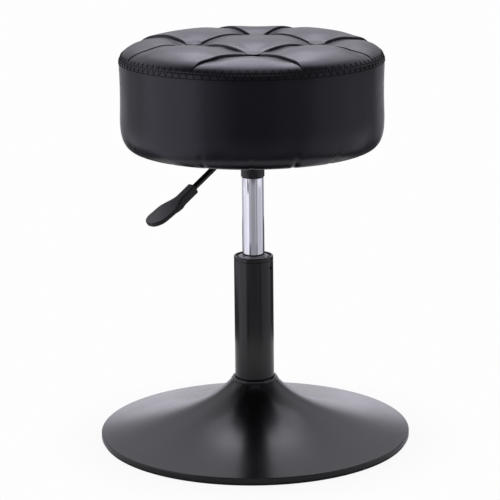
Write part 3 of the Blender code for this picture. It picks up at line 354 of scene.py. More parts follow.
STAPLE_WIDTH = 0.0100
STAPLE_WIRE = 0.0004
STAPLE_LEG = 0.0006
STAPLE_BOW = -0.0012

# Hardware
PLATE_EDGE = 0.0004
PIN_EDGE = 0.0003


# Objects and nodes

def placed(name, data):
    """A new object of the scene."""
    piece = bpy.data.objects.new(name, data)
    scene.collection.objects.link(piece)
    return piece


def mesh_from(name, bm):
    """A mesh from a bmesh, which is used up."""
    mesh = bpy.data.meshes.new(name)
    bm.to_mesh(mesh)
    bm.free()
    return mesh


def add_node(tree, kind, inputs=None, **settings):
    """A node with its settings, and each named input either linked or set to a plain value."""
    node = tree.nodes.new(kind)
    for key, value in settings.items():
        setattr(node, key, value)
    for key, value in (inputs or {}).items():
        if isinstance(value, bpy.types.NodeSocket):
            tree.links.new(value, node.inputs[key])
        else:
            node.inputs[key].default_value = value
    return node


def maths(tree, operation, *values):
    """The result of one arithmetic step."""
    step = add_node(tree, "ShaderNodeMath", dict(enumerate(values)), operation=operation)
    return step.outputs[0]


def eased_range(tree, value, low, high, to_low=0.0, to_high=1.0):
    """A value eased from one range into another."""
    inputs = {"Value": value, "From Min": low, "From Max": high, "To Min": to_low, "To Max": to_high}
    return add_node(tree, "ShaderNodeMapRange", inputs, interpolation_type="SMOOTHSTEP").outputs[0]


def mixed(tree, share, low, high):
    """A colour between two colours."""
    inputs = {"Factor": share, "A": low, "B": high}
    return add_node(tree, "ShaderNodeMix", inputs, data_type="RGBA").outputs["Result"]


def blended(tree, share, first, second):
    """A shader node between two shader nodes."""
    return add_node(tree, "ShaderNodeMixShader", {0: share, 1: first.outputs[0], 2: second.outputs[0]})


def object_place(tree):
    """Where a surface point lies on its object."""
    return add_node(tree, "ShaderNodeTexCoord").outputs["Object"]


def noise(tree, place, scale, **more):
    """A cloudy value over the places."""
    return add_node(tree, "ShaderNodeTexNoise", {"Vector": place, "Scale": scale, **more}).outputs["Fac"]


# Camera, light and floor

def set_camera():
    """The camera stands where the photograph was taken from."""
    lens = bpy.data.cameras.new("photo_camera")
    lens.sensor_width = SENSOR_WIDTH
    lens.lens = SENSOR_WIDTH * CAMERA_FOCAL
    camera = placed("photo_camera", lens)
    turn = Matrix.Rotation(CAMERA_YAW, 4, "Z") @ Matrix.Rotation(math.pi / 2 - CAMERA_PITCH, 4, "X")
    turn = turn @ Matrix.Rotation(CAMERA_ROLL, 4, "Z")
    camera.matrix_world = Matrix.Translation(CAMERA_PLACE) @ turn
    scene.camera = camera


def seen_as_backdrop(tree):
    """Whether a ray looks straight or through clear pieces, and whether it is a reflected one."""
    path = add_node(tree, "ShaderNodeLightPath").outputs
    seen = maths(tree, "MAXIMUM", path["Is Camera Ray"], path["Is Transmission Ray"])
    return seen, path["Is Glossy Ray"]


def make_world():
    """A pale studio: bright behind the stool and above its back, dim in front, dark below the floor."""
    world = bpy.data.worlds.new("studio")
    scene.world = world
    world.use_nodes = True
    tree = world.node_tree
    tree.nodes.clear()
    way = add_node(tree, "ShaderNodeTexCoord").outputs["Generated"]
    x, y, z = add_node(tree, "ShaderNodeSeparateXYZ", {0: way}).outputs
    aside = maths(tree, "ABSOLUTE", x)
    rear = eased_range(tree, y, *REAR_BACK)
    rear = maths(tree, "MULTIPLY", rear, eased_range(tree, z, *REAR_HEIGHT))
    rear = maths(tree, "MULTIPLY", rear, eased_range(tree, aside, *REAR_ASIDE))
    ceiling = eased_range(tree, z, *CEILING_HEIGHT)
    ceiling = maths(tree, "MULTIPLY", ceiling, eased_range(tree, y, *CEILING_BACK))
    walls = mixed(tree, maths(tree, "MAXIMUM", rear, ceiling), WALL_DARK, WALL_PALE)
    room = mixed(tree, eased_range(tree, z, *HORIZON), BELOW_FLOOR, walls)
    light = add_node(tree, "ShaderNodeBackground", {"Color": room, "Strength": ROOM_STRENGTH})
    white = add_node(tree, "ShaderNodeBackground", {"Color": WHITE, "Strength": 1.0})
    seen, _ = seen_as_backdrop(tree)
    add_node(tree, "ShaderNodeOutputWorld", {"Surface": blended(tree, seen, light, white).outputs[0]})


def make_floor():
    """A round pale floor that shows white, keeps a soft shadow and is seen through from below."""
    bm = bmesh.new()
    bmesh.ops.create_circle(bm, cap_ends=True, segments=ROUND_SIDES, radius=FLOOR_RADIUS)
    bmesh.ops.translate(bm, verts=bm.verts, vec=(0, 0, -GAP))
    floor = placed("studio_floor", mesh_from("studio_floor", bm))
    finish = bpy.data.materials.new("pale_floor")
    finish.use_nodes = True
    tree = finish.node_tree
    tree.nodes.clear()
    length = add_node(tree, "ShaderNodeVectorMath", {0: object_place(tree)}, operation="LENGTH")
    away = length.outputs["Value"]
    seen, glossy = seen_as_backdrop(tree)
    straight = maths(tree, "MULTIPLY", seen, eased_range(tree, away, *FLOOR_SEEN))
    mirrored = maths(tree, "MULTIPLY", glossy, eased_range(tree, away, *FLOOR_MIRRORED))
    paper = add_node(tree, "ShaderNodeBsdfDiffuse", {"Color": FLOOR_PAPER})
    white = add_node(tree, "ShaderNodeEmission", {"Color": WHITE, "Strength": 1.0})
    top = blended(tree, maths(tree, "MAXIMUM", straight, mirrored), paper, white)
    below = add_node(tree, "ShaderNodeNewGeometry").outputs["Backfacing"]
    sheet = blended(tree, below, top, add_node(tree, "ShaderNodeBsdfTransparent"))
    add_node(tree, "ShaderNodeOutputMaterial", {"Surface": sheet.outputs[0]})
    floor.data.materials.append(finish)


def panel_light(name, place, target, height, width, brightness):
    """A soft panel that faces a target, as bright as a surface of the given brightness."""
    lamp = bpy.data.lights.new(name, "AREA")
    lamp.shape = "RECTANGLE"
    lamp.size = width
    lamp.size_y = height
    lamp.energy = brightness * math.pi * width * height
    lamp.color = PANEL_COLOUR
    light = placed(name, lamp)
    facing = (Vector(target) - Vector(place)).to_track_quat("-Z", "Y")
    light.matrix_world = Matrix.Translation(place) @ facing.to_matrix().to_4x4()
    light.visible_camera = False


def over_seat(aside, rise, half_angle):
    """Place, target and height of a panel at an angle above the seat's top, counted from behind it."""
    target = Vector((aside, *TOP_PANEL_AIM))
    way = Vector((0, math.cos(math.radians(rise)), math.sin(math.radians(rise))))
    height = 2 * TOP_PANEL_REACH * math.tan(math.radians(half_angle))
    return target + way * TOP_PANEL_REACH, target, height


def make_lights():
    """Panels at the sides, low ones that the chrome and the base show, and five over the seat.

    Each row gives a name, the place, the target, the height, the width and the brightness.
    """
    panels = (
        ("left_panel", (-1.0, -0.44, 0.33), (0, -0.44, 0.33), 1.66, 1.18, 0.86),
        ("left_rear_panel", (-1.0, 0.40, 0.66), (0, 0.40, 0.66), 1.0, 0.50, 0.34),
        ("left_rear_low_panel", (-0.9, 0.42, 0.08), (0, 0.42, 0.08), 0.24, 0.66, 0.62),
        ("left_low_panel", (-0.74, -0.60, 0.12), (0, 0, 0.12), 0.28, 0.66, 0.14),
        ("front_low_panel", (0.08, -0.95, 0.01), (0, 0, 0.01), 0.48, 1.15, 0.24),
        ("right_panel", (1.0, -0.38, 0.68), (0, -0.38, 0.68), 0.96, 0.94, 0.34),
        ("right_low_panel", (0.76, -0.16, 0.08), (0, 0, 0.08), 0.40, 1.10, 0.52),
        ("rear_low_panel", (0, 1.3, 0.15), (0, 0, 0.15), 0.35, 1.2, 0.95),
        ("rear_wide_panel", *over_seat(0.08, 55, 27), 1.05, 1.05),
        ("rear_low_top_panel", *over_seat(0.02, 39, 11), 0.52, 1.2),
        ("rear_top_panel", *over_seat(0.02, 66, 16), 0.52, 2.9),
        ("overhead_panel", *over_seat(0.03, 92, 10), 0.64, 1.6),
        ("front_overhead_panel", *over_seat(0.03, 114, 12), 0.64, 0.4),
        ("front_left_panel", (-0.68, -0.96, 0.35), (0, 0, 0.35), 0.80, 0.56, 0.26),
        ("front_right_panel", (0.62, -1.0, 0.35), (0, 0, 0.35), 0.80, 0.50, 0.10),
        ("right_rear_panel", (1.0, 0.34, 0.22), (0, 0.34, 0.22), 0.48, 0.50, 0.14),
        ("left_back_panel", (-1.0, 1.25, 0.20), (0, 0, 0.20), 0.50, 0.60, 0.34),
        ("right_back_panel", (1.0, 1.25, 0.20), (0, 0, 0.20), 0.50, 0.60, 0.30),
    )
    for row in panels:
        panel_light(*row)


# Finishes

def add_socket(tree, label, side, kind, value=None):
    """A named input or output of a node group."""
    socket = tree.interface.new_socket(name=label, in_out=side, socket_type="NodeSocket" + kind)
    if value is not None:
        socket.default_value = value


def inner_ends(tree):
    """What a node group gives and takes on its inside."""
    return tree.nodes.new("NodeGroupInput").outputs, tree.nodes.new("NodeGroupOutput").inputs


def new_group(name, values, *outputs):
    """A shader group with named numbers that go in, with their values, and numbers that come out."""
    tree = bpy.data.node_groups.new(name, "ShaderNodeTree")
    for label, value in values.items():
        add_socket(tree, label, "INPUT", "Float", value)
    for label in outputs:
        add_socket(tree, label, "OUTPUT", "Float")
    return tree, *inner_ends(tree)


def make_grain_group():
    """Small pressed cells with soft valleys, as on vinyl and moulded plastic."""
    tree, given, made = new_group("pressed_grain", {"Cell Size": 0.001, "Unevenness": 0.3}, "Height")
    place = object_place(tree)
    density = maths(tree, "DIVIDE", 1.0, given["Cell Size"])
    pattern = {"Vector": place, "Scale": density, "Randomness": 0.9}
    cells = add_node(tree, "ShaderNodeTexVoronoi", pattern, feature="DISTANCE_TO_EDGE")
    raised = eased_range(tree, cells.outputs["Distance"], 0.0, 0.22)
    rough = noise(tree, place, maths(tree, "MULTIPLY", density, 0.35), Detail=3.0)
    uneven = maths(tree, "MULTIPLY", rough, given["Unevenness"])
    tree.links.new(maths(tree, "ADD", raised, uneven), made["Height"])
    return tree


def make_mottle_group():
    """Slow, uneven variation over a surface, between a low and a high value."""
    values = {"Patch Size": 0.02, "Low": 0.0, "High": 1.0}
    tree, given, made = new_group("slow_mottle", values, "Value", "Mask")
    density = maths(tree, "DIVIDE", 1.0, given["Patch Size"])
    cloud = noise(tree, object_place(tree), density, Detail=4.0, Roughness=0.55)
    mask = eased_range(tree, cloud, 0.30, 0.70)
    spread = maths(tree, "SUBTRACT", given["High"], given["Low"])
    tree.links.new(maths(tree, "MULTIPLY_ADD", mask, spread, given["Low"]), made["Value"])
    tree.links.new(mask, made["Mask"])
    return tree


def make_peel_group():
    """Fine ripple of a sprayed or plated surface."""
    tree, given, made = new_group("fine_ripple", {"Ripple Size": 0.001}, "Height")
    density = maths(tree, "DIVIDE", 1.0, given["Ripple Size"])
    fine = noise(tree, object_place(tree), density, Detail=2.0, Roughness=0.4)
    tree.links.new(fine, made["Height"])
    return tree


GRAIN = make_grain_group()
MOTTLE = make_mottle_group()
PEEL = make_peel_group()


def use_group(tree, group, **values):
    """Places a node group in a material with its own values and gives its outputs."""
    inputs = {name.replace("_", " "): value for name, value in values.items()}
    return add_node(tree, "ShaderNodeGroup", inputs, node_tree=group).outputs


def make_finish(
    name, dark, light, rough, patch, height=None, bump=(0.2, 0.0002), metallic=0.0, painted_light=None, **plain
):
    """A Principled finish with mottled colour and roughness and a bump.

    dark and light are the colour's two ends, rough the roughness's two ends and patch the mottle's
    size. height and painted_light are functions that give, in the material's tree, the bump's height
    and, where the mottle doesn't set it, the share of the light colour as painted light. bump is a
    strength and a distance.
    """
    finish = bpy.data.materials.new(name)
    finish.use_nodes = True
    tree = finish.node_tree
    shader = tree.nodes["Principled BSDF"].inputs
    shader["Metallic"].default_value = metallic
    for socket, value in plain.items():
        shader[socket.replace("_", " ")].default_value = value
    # A given share function paints light: the light colour marks the faces that should look lit
    tone = painted_light(tree) if painted_light else use_group(tree, MOTTLE, Patch_Size=patch * COLOUR_PATCHES)["Mask"]
    tree.links.new(mixed(tree, tone, (*dark, 1), (*light, 1)), shader["Base Color"])
    gloss = use_group(tree, MOTTLE, Patch_Size=patch, Low=rough[0], High=rough[1])
    tree.links.new(gloss["Value"], shader["Roughness"])
    if height:
        inputs = {"Height": height(tree), "Strength": bump[0], "Distance": bump[1]}
        relief = add_node(tree, "ShaderNodeBump", inputs)
        tree.links.new(relief.outputs["Normal"], shader["Normal"])
    return finish


def grain(cell, unevenness=0.3):
    """Bump height of pressed grain."""
    return lambda tree: use_group(tree, GRAIN, Cell_Size=cell, Unevenness=unevenness)["Height"]


def ripple(size):
    """Bump height of a fine ripple."""
    return lambda tree: use_group(tree, PEEL, Ripple_Size=size)["Height"]


def painted_top_light(tree):
    """The share of the light colour on a surface's upper faces, in uneven patches: painted light that
    makes the top look lit and leaves the sides dark.
    """
    normal = add_node(tree, "ShaderNodeTexCoord").outputs["Normal"]
    upward = add_node(tree, "ShaderNodeSeparateXYZ", {0: normal}).outputs["Z"]
    patches = use_group(tree, MOTTLE, Patch_Size=0.020, Low=0.85, High=1.0)["Value"]
    return maths(tree, "MULTIPLY", eased_range(tree, upward, 0.45, 0.80), patches)


def wood_grain(tree):
    """Bump height of sawn veneer, drawn out along X."""
    stretch = {"Vector": object_place(tree), "Scale": (12.0, 260.0, 260.0)}
    return noise(tree, add_node(tree, "ShaderNodeMapping", stretch).outputs[0], 1.0)


def twist(tree):
    """Bump height of twisted strands."""
    pattern = {"Vector": object_place(tree), "Scale": 900.0, "Distortion": 1.0}
    return add_node(tree, "ShaderNodeTexWave", pattern, bands_direction="DIAGONAL").outputs["Fac"]


BLACK_VINYL = make_finish(
    "black_vinyl", (0.0034, 0.0031, 0.0046), (0.0054, 0.0050, 0.0070), (0.27, 0.33), 0.030,
    grain(0.0011), (0.05, 0.00025), Specular_Tint=(0.90, 0.88, 1.0, 1.0),
)
SEAM_THREAD = make_finish(
    "seam_thread", (0.003, 0.003, 0.004), (0.006, 0.006, 0.007), (0.60, 0.75), 0.004,
    twist, (0.4, 0.0001), Specular_IOR_Level=0.12,
)
SATIN_BLACK = make_finish(
    "satin_black_paint", (0.0030, 0.0030, 0.0034), (0.0046, 0.0046, 0.0050), (0.19, 0.23), 0.050,
    ripple(0.0012), (0.03, 0.0002),
)
GLOSS_BLACK = make_finish(
    "gloss_black_plastic", (0.008, 0.008, 0.009), (0.011, 0.011, 0.012), (0.14, 0.20), 0.020,
    ripple(0.0020), (0.03, 0.0002),
)
# The light colour is painted light: a painted highlight on the grip's upward faces, while its sides keep
# the dark colour
MATTE_BLACK = make_finish(
    "matte_black_plastic", (0.016, 0.016, 0.018), (0.118, 0.118, 0.126), (0.40, 0.48), 0.012,
    grain(0.0006), (0.12, 0.00012), painted_light=painted_top_light, Specular_IOR_Level=0.35,
)
BLACK_RUBBER = make_finish(
    "black_rubber", (0.010, 0.010, 0.010), (0.018, 0.018, 0.018), (0.72, 0.88), 0.015,
    grain(0.0012), (0.15, 0.0002),
)
CHROME = make_finish(
    "chrome", (0.78, 0.79, 0.82), (0.82, 0.83, 0.86), (0.05, 0.09), 0.040,
    ripple(0.0060), (0.02, 0.0002), 1.0,
)
BRIGHT_STEEL = make_finish(
    "bright_steel", (0.46, 0.46, 0.47), (0.56, 0.56, 0.57), (0.28, 0.42), 0.010,
    ripple(0.0008), (0.10, 0.0001), 1.0,
)
GREY_NYLON = make_finish(
    "grey_nylon", (0.40, 0.40, 0.41), (0.48, 0.48, 0.49), (0.30, 0.38), 0.010,
    ripple(0.0008), (0.10, 0.0001),
)
DARK_FELT = make_finish(
    "dark_felt", (0.022, 0.022, 0.024), (0.036, 0.036, 0.038), (0.88, 0.98), 0.006,
    ripple(0.0007), (0.6, 0.0004),
)
PALE_FOAM = make_finish(
    "pale_foam", (0.72, 0.66, 0.48), (0.82, 0.77, 0.60), (0.90, 0.98), 0.010,
    grain(0.0015), (0.5, 0.0006),
)
PLYWOOD = make_finish(
    "plywood", (0.46, 0.31, 0.17), (0.60, 0.43, 0.25), (0.60, 0.75), 0.030,
    wood_grain, (0.2, 0.0003),
)
TWINE = make_finish(
    "twine", (0.50, 0.47, 0.40), (0.66, 0.63, 0.56), (0.80, 0.95), 0.004,
    twist, (0.5, 0.0002),
)
FINISHES = {
    finish.name: finish
    for finish in (
        BLACK_VINYL, SATIN_BLACK, GLOSS_BLACK, MATTE_BLACK, BLACK_RUBBER, CHROME, BRIGHT_STEEL,
        GREY_NYLON, DARK_FELT, PALE_FOAM, PLYWOOD, TWINE,
    )
}


# Mesh making

def as_object(name, bm):
    """An object from a bmesh, with its faces turned outwards."""
    bmesh.ops.recalc_face_normals(bm, faces=bm.faces)
    return placed(name, mesh_from(name, bm))


def evaluated_mesh(piece):
    """A plain mesh of what an object looks like with its modifiers."""
    state = piece.evaluated_get(bpy.context.evaluated_depsgraph_get())
    return bpy.data.meshes.new_from_object(state)


def settle(piece):
    """Turns an object's modifiers into its mesh."""
    mesh = evaluated_mesh(piece)
    piece.modifiers.clear()
    piece.data = mesh


def hand_over(piece, finish, body, *replaced):
    """Gives a finished piece its finish, the body that it rides on and the CAD nodes it stands for."""
    mesh = piece.data
    mesh.materials.clear()
    mesh.materials.append(finish)
    mesh.shade_smooth()
    mesh.set_sharp_from_angle(angle=SHARP_ANGLE)
    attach(piece, body)
    if replaced:
        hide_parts(*replaced)
    return piece


def around(radius, sides):
    """Points of a circle in plan."""
    turns = [2 * math.pi * i / sides for i in range(sides)]
    return [(radius * math.cos(t), radius * math.sin(t)) for t in turns]


def join_rows(bm, low, high):
    """Faces between two rings of equally many points, of which one may be a single point."""
    for i in range(len(low)):
        j = (i + 1) % len(low)
        corners = list(dict.fromkeys((low[i], low[j], high[j], high[i])))
        if len(corners) > 2:
            bm.faces.new(corners)


def turned(profile, sides):
    """A bmesh of a profile of (radius, height) points turned round Z, whole or as a ring."""
    bm = bmesh.new()
    rows = []
    for radius, height in profile:
        if radius < TINY:
            rows.append([bm.verts.new((0, 0, height))] * sides)
        else:
            rows.append([bm.verts.new((x, y, height)) for x, y in around(radius, sides)])
    pairs = list(zip(rows, rows[1:]))
    if profile[0][0] > TINY or profile[-1][0] > TINY:
        pairs.append((rows[-1], rows[0]))
    for low, high in pairs:
        join_rows(bm, low, high)
    return bm


def skinned(rings):
    """A bmesh over rings of equally many points, capped at both ends."""
    bm = bmesh.new()
    rows = [[bm.verts.new(point) for point in ring] for ring in rings]
    for low, high in zip(rows, rows[1:]):
        join_rows(bm, low, high)
    bm.faces.new(reversed(rows[0]))
    bm.faces.new(rows[-1])
    return bm


def eased(profile, radius, steps=3):
    """The same profile with its corners rounded, but for ends on the axis."""
    on_axis = profile[0][0] < TINY and profile[-1][0] < TINY
    smooth = []
    for i, point in enumerate(profile):
        here = Vector(point)
        if on_axis and i in (0, len(profile) - 1):
            smooth.append(point)
            continue
        before = Vector(profile[i - 1]) - here
        after = Vector(profile[(i + 1) % len(profile)]) - here
        if before.angle(after) > STRAIGHT_ANGLE:
            smooth.append(point)
            continue
        cut = min(radius, CORNER_SHARE * before.length, CORNER_SHARE * after.length)
        start = here + before.normalized() * cut
        end = here + after.normalized() * cut
        for step in range(steps + 1):
            share = step / steps
            smooth.append(tuple(start.lerp(here, share).lerp(here.lerp(end, share), share)))
    return smooth


def turn_piece(name, profile, rounding, finish, body, node, sides=ROUND_SIDES, steps=3):
    """A finished piece turned from a profile with rounded corners."""
    bm = turned(eased(profile, rounding, steps), sides)
    return hand_over(as_object(name, bm), finish, body, node)


def sleeve(inner, outer, bottom, top):
    """The profile of a plain ring."""
    return [(outer, top), (outer, bottom), (inner, bottom), (inner, top)]


def cut_out(piece, cutter):
    """Takes a cutter's shape out of a piece."""
    step = piece.modifiers.new("cut", "BOOLEAN")
    step.operation = "DIFFERENCE"
    step.solver = "EXACT"
    step.object = cutter
    settle(piece)
    bpy.data.objects.remove(cutter)


def softened_copy(node, edge, body, finish):
    """A CAD node's own shape with its sharp edges broken, standing for that node."""
    bm = bmesh.new()
    bm.from_mesh(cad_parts[node].data)
    bmesh.ops.remove_doubles(bm, verts=bm.verts, dist=MERGE)
    bmesh.ops.dissolve_limit(bm, angle_limit=FLAT_ANGLE, verts=bm.verts, edges=bm.edges)
    sharp = [e for e in bm.edges if len(e.link_faces) == 2 and e.calc_face_angle() > BROKEN_ANGLE]
    bmesh.ops.bevel(
        bm, geom=sharp, offset=edge, segments=2, profile=0.5, affect="EDGES", clamp_overlap=True
    )
    return hand_over(as_object(f"{node}_dressed", bm), finish, body, node)


def face_up(mesh):
    """Turns an open sheet's faces so that most of them look up."""
    bm = bmesh.new()
    bm.from_mesh(mesh)
    bmesh.ops.recalc_face_normals(bm, faces=bm.faces)
    if sum(face.normal.z * face.calc_area() for face in bm.faces) < 0:
        bmesh.ops.reverse_faces(bm, faces=bm.faces)
    bm.to_mesh(mesh)
    bm.free()


# Geometry Nodes trees

def new_tree(name, lengths, counts=()):
    """A Geometry Nodes tree with named lengths, counts and a finish that go in."""
    tree = bpy.data.node_groups.new(name, "GeometryNodeTree")
    add_socket(tree, "Geometry", "INPUT", "Geometry")
    for label in lengths:
        add_socket(tree, label, "INPUT", "Float")
    for label in counts:
        add_socket(tree, label, "INPUT", "Int")
    add_socket(tree, "Finish", "INPUT", "Material")
    add_socket(tree, "Geometry", "OUTPUT", "Geometry")
    return tree, *inner_ends(tree)


def end_tree(tree, geometry, given, made):
    """Realizes what a tree made, smooths it, gives it its finish and puts it out."""
    real = add_node(tree, "GeometryNodeRealizeInstances", {"Geometry": geometry.outputs[0]})
    smooth = add_node(tree, "GeometryNodeSetShadeSmooth", {"Geometry": real.outputs[0]})
    coat = {"Geometry": smooth.outputs[0], "Material": given["Finish"]}
    coated = add_node(tree, "GeometryNodeSetMaterial", coat)
    tree.links.new(coated.outputs[0], made["Geometry"])


def run_tree(piece, tree, values):
    """Runs a tree on an object, with its inputs set by their identifiers, and keeps what it makes."""
    step = piece.modifiers.new(tree.name, "NODES")
    step.node_group = tree
    for item in tree.interface.items_tree:
        if item.item_type == "SOCKET" and item.in_out == "INPUT" and item.name in values:
            step[item.identifier] = values[item.name]
    settle(piece)


def swept_wire(tree, path, radius):
    """A round wire along a path."""
    ring = {"Resolution": THREAD_SIDES, "Radius": radius}
    section = add_node(tree, "GeometryNodeCurvePrimitiveCircle", ring).outputs["Curve"]
    inputs = {"Curve": path.outputs[0], "Profile Curve": section, "Fill Caps": True}
    return add_node(tree, "GeometryNodeCurveToMesh", inputs)


def stored_direction(tree, name):
    """The direction that a mesh's points carry under a name."""
    store = add_node(tree, "GeometryNodeInputNamedAttribute", {"Name": name}, data_type="FLOAT_VECTOR")
    return store.outputs["Attribute"]


def make_trumpet_tree():
    """A spun bell: height falls with the logarithm of the radius, then rolls over a rim to its lip."""
    lengths = (
        "Neck Radius", "Bell Radius", "Bell Rise", "Rim Height", "Rim Round", "Rim Crease", "Lip Height",
    )
    tree, given, made = new_tree("spun_trumpet", lengths, ("Rings", "Sides"))
    calc = partial(maths, tree)
    counts = {"Vertices X": given["Rings"], "Vertices Y": given["Sides"]}
    grid = add_node(tree, "GeometryNodeMeshGrid", {"Size X": 1.0, "Size Y": 1.0, **counts})
    place = add_node(tree, "GeometryNodeInputPosition").outputs[0]
    x, y, _ = add_node(tree, "ShaderNodeSeparateXYZ", {0: place}).outputs
    along = calc("ADD", x, 0.5)
    turn = calc("MULTIPLY", calc("ADD", y, 0.5), 2 * math.pi)

    def stretch(start, end):
        """The share that a grid row has gone between two shares of all rows."""
        inputs = {"Value": along, "From Min": start, "From Max": end}
        return add_node(tree, "ShaderNodeMapRange", inputs).outputs[0]

    ratio = calc("DIVIDE", given["Bell Radius"], given["Neck Radius"])
    bell = calc("MULTIPLY", given["Neck Radius"], calc("POWER", ratio, stretch(0.0, BELL_SHARE)))
    fall = calc("LOGARITHM", calc("DIVIDE", given["Bell Radius"], bell), math.e)
    height = calc("MULTIPLY_ADD", fall, given["Bell Rise"], given["Rim Height"])
    roll = calc("MULTIPLY", stretch(BELL_SHARE, ROLL_SHARE), math.pi / 2)
    radius = calc("MULTIPLY_ADD", calc("SINE", roll), given["Rim Round"], bell)
    sunk = calc("MULTIPLY", calc("SUBTRACT", 1.0, calc("COSINE", roll)), given["Rim Round"])
    roll_end = calc("SUBTRACT", given["Rim Height"], given["Rim Round"])
    lip = calc("MULTIPLY", stretch(ROLL_SHARE, 1.0), calc("SUBTRACT", roll_end, given["Lip Height"]))
    inside = calc("SUBTRACT", calc("SUBTRACT", given["Bell Radius"], bell), RIM_CREASE_INSET)
    narrow = calc("DIVIDE", inside, RIM_CREASE_WIDTH)
    dent = calc("EXPONENT", calc("MULTIPLY", calc("MULTIPLY", narrow, narrow), -1.0))
    crease = calc("MULTIPLY", dent, given["Rim Crease"])
    level = calc("SUBTRACT", height, calc("ADD", calc("ADD", sunk, lip), crease))
    spot = {
        "X": calc("MULTIPLY", radius, calc("COSINE", turn)),
        "Y": calc("MULTIPLY", radius, calc("SINE", turn)),
        "Z": level,
    }
    spun = add_node(tree, "ShaderNodeCombineXYZ", spot).outputs[0]
    moved = {"Geometry": grid.outputs["Mesh"], "Position": spun}
    shaped = add_node(tree, "GeometryNodeSetPosition", moved).outputs[0]
    closed = add_node(tree, "GeometryNodeMergeByDistance", {"Geometry": shaped, "Distance": MERGE})
    end_tree(tree, closed, given, made)
    return tree


def make_stitch_tree():
    """A thread along each run of points, with its ends in the cloth and the rest lifted off it."""
    tree, given, made = new_tree("sewn_stitches", ("Thread Radius", "Lift"))
    calc = partial(maths, tree)
    runs = add_node(tree, "GeometryNodeMeshToCurve", {"Mesh": given["Geometry"]})
    share = add_node(tree, "GeometryNodeSplineParameter").outputs["Factor"]
    hump = calc("MULTIPLY", calc("MULTIPLY", share, calc("SUBTRACT", 1.0, share)), STITCH_RISE)
    whole = calc("MULTIPLY", calc("MINIMUM", hump, 1.0), 1.0 + STITCH_SINK)
    off = calc("MULTIPLY", calc("SUBTRACT", whole, STITCH_SINK), given["Lift"])
    outward = {0: stored_direction(tree, "outward"), "Scale": off}
    lift = add_node(tree, "ShaderNodeVectorMath", outward, operation="SCALE").outputs["Vector"]
    arched = add_node(tree, "GeometryNodeSetPosition", {"Geometry": runs.outputs[0], "Offset": lift})
    end_tree(tree, swept_wire(tree, arched, given["Thread Radius"]), given, made)
    return tree


def make_staple_tree():
    """A wire staple on each point, laid along the point's own direction."""
    tree, given, made = new_tree("staple_row", ("Crown Width", "Wire Radius"))
    half = maths(tree, "MULTIPLY", given["Crown Width"], 0.5)
    other = maths(tree, "MULTIPLY", half, -1.0)
    left = add_node(tree, "ShaderNodeCombineXYZ", {"X": other, "Z": STAPLE_LEG})
    right = add_node(tree, "ShaderNodeCombineXYZ", {"X": half, "Z": STAPLE_LEG})
    bow = {"Start": left.outputs[0], "Middle": (0, 0, STAPLE_BOW), "End": right.outputs[0]}
    crown = add_node(tree, "GeometryNodeCurveQuadraticBezier", {"Resolution": 8, **bow})
    wire = swept_wire(tree, crown, given["Wire Radius"])
    way = {"Vector": stored_direction(tree, "along")}
    turn = add_node(tree, "FunctionNodeAlignRotationToVector", way, axis="X", pivot_axis="Z")
    dots = add_node(tree, "GeometryNodeMeshToPoints", {"Mesh": given["Geometry"]})
    row = {"Points": dots.outputs[0], "Instance": wire.outputs[0], "Rotation": turn.outputs[0]}
    end_tree(tree, add_node(tree, "GeometryNodeInstanceOnPoints", row), given, made)
    return tree


def loose_mesh(name, points, edges=(), **directions):
    """An object of loose points and edges with a direction stored on each point."""
    mesh = bpy.data.meshes.new(name)
    mesh.from_pydata([tuple(p) for p in points], [tuple(e) for e in edges], [])
    for label, vectors in directions.items():
        store = mesh.attributes.new(label, "FLOAT_VECTOR", "POINT")
        store.data.foreach_set("vector", np.array([tuple(v) for v in vectors], dtype=np.float32).ravel())
    return placed(name, mesh)


# Eased shares, for numbers and arrays

def smooth_share(value):
    """0 below 0, 1 above 1, and an eased step between."""
    share = np.clip(value, 0.0, 1.0)
    return share * share * (3 - 2 * share)


def half_wave(share):
    """Falls from 1 to 0 as the share goes from 0 to 1."""
    return 0.5 + 0.5 * np.cos(np.pi * np.clip(share, 0, 1))


def swell(value, middle, width):
    """1 at a middle, falling softly to 0 on both sides of it."""
    return np.exp(-(((value - middle) / width) ** 2))


def held_near(distance, start, run):
    """1 up to a distance, falling to 0 over the run after it."""
    return smooth_share(1 - (distance - start) / run)


# Base and column

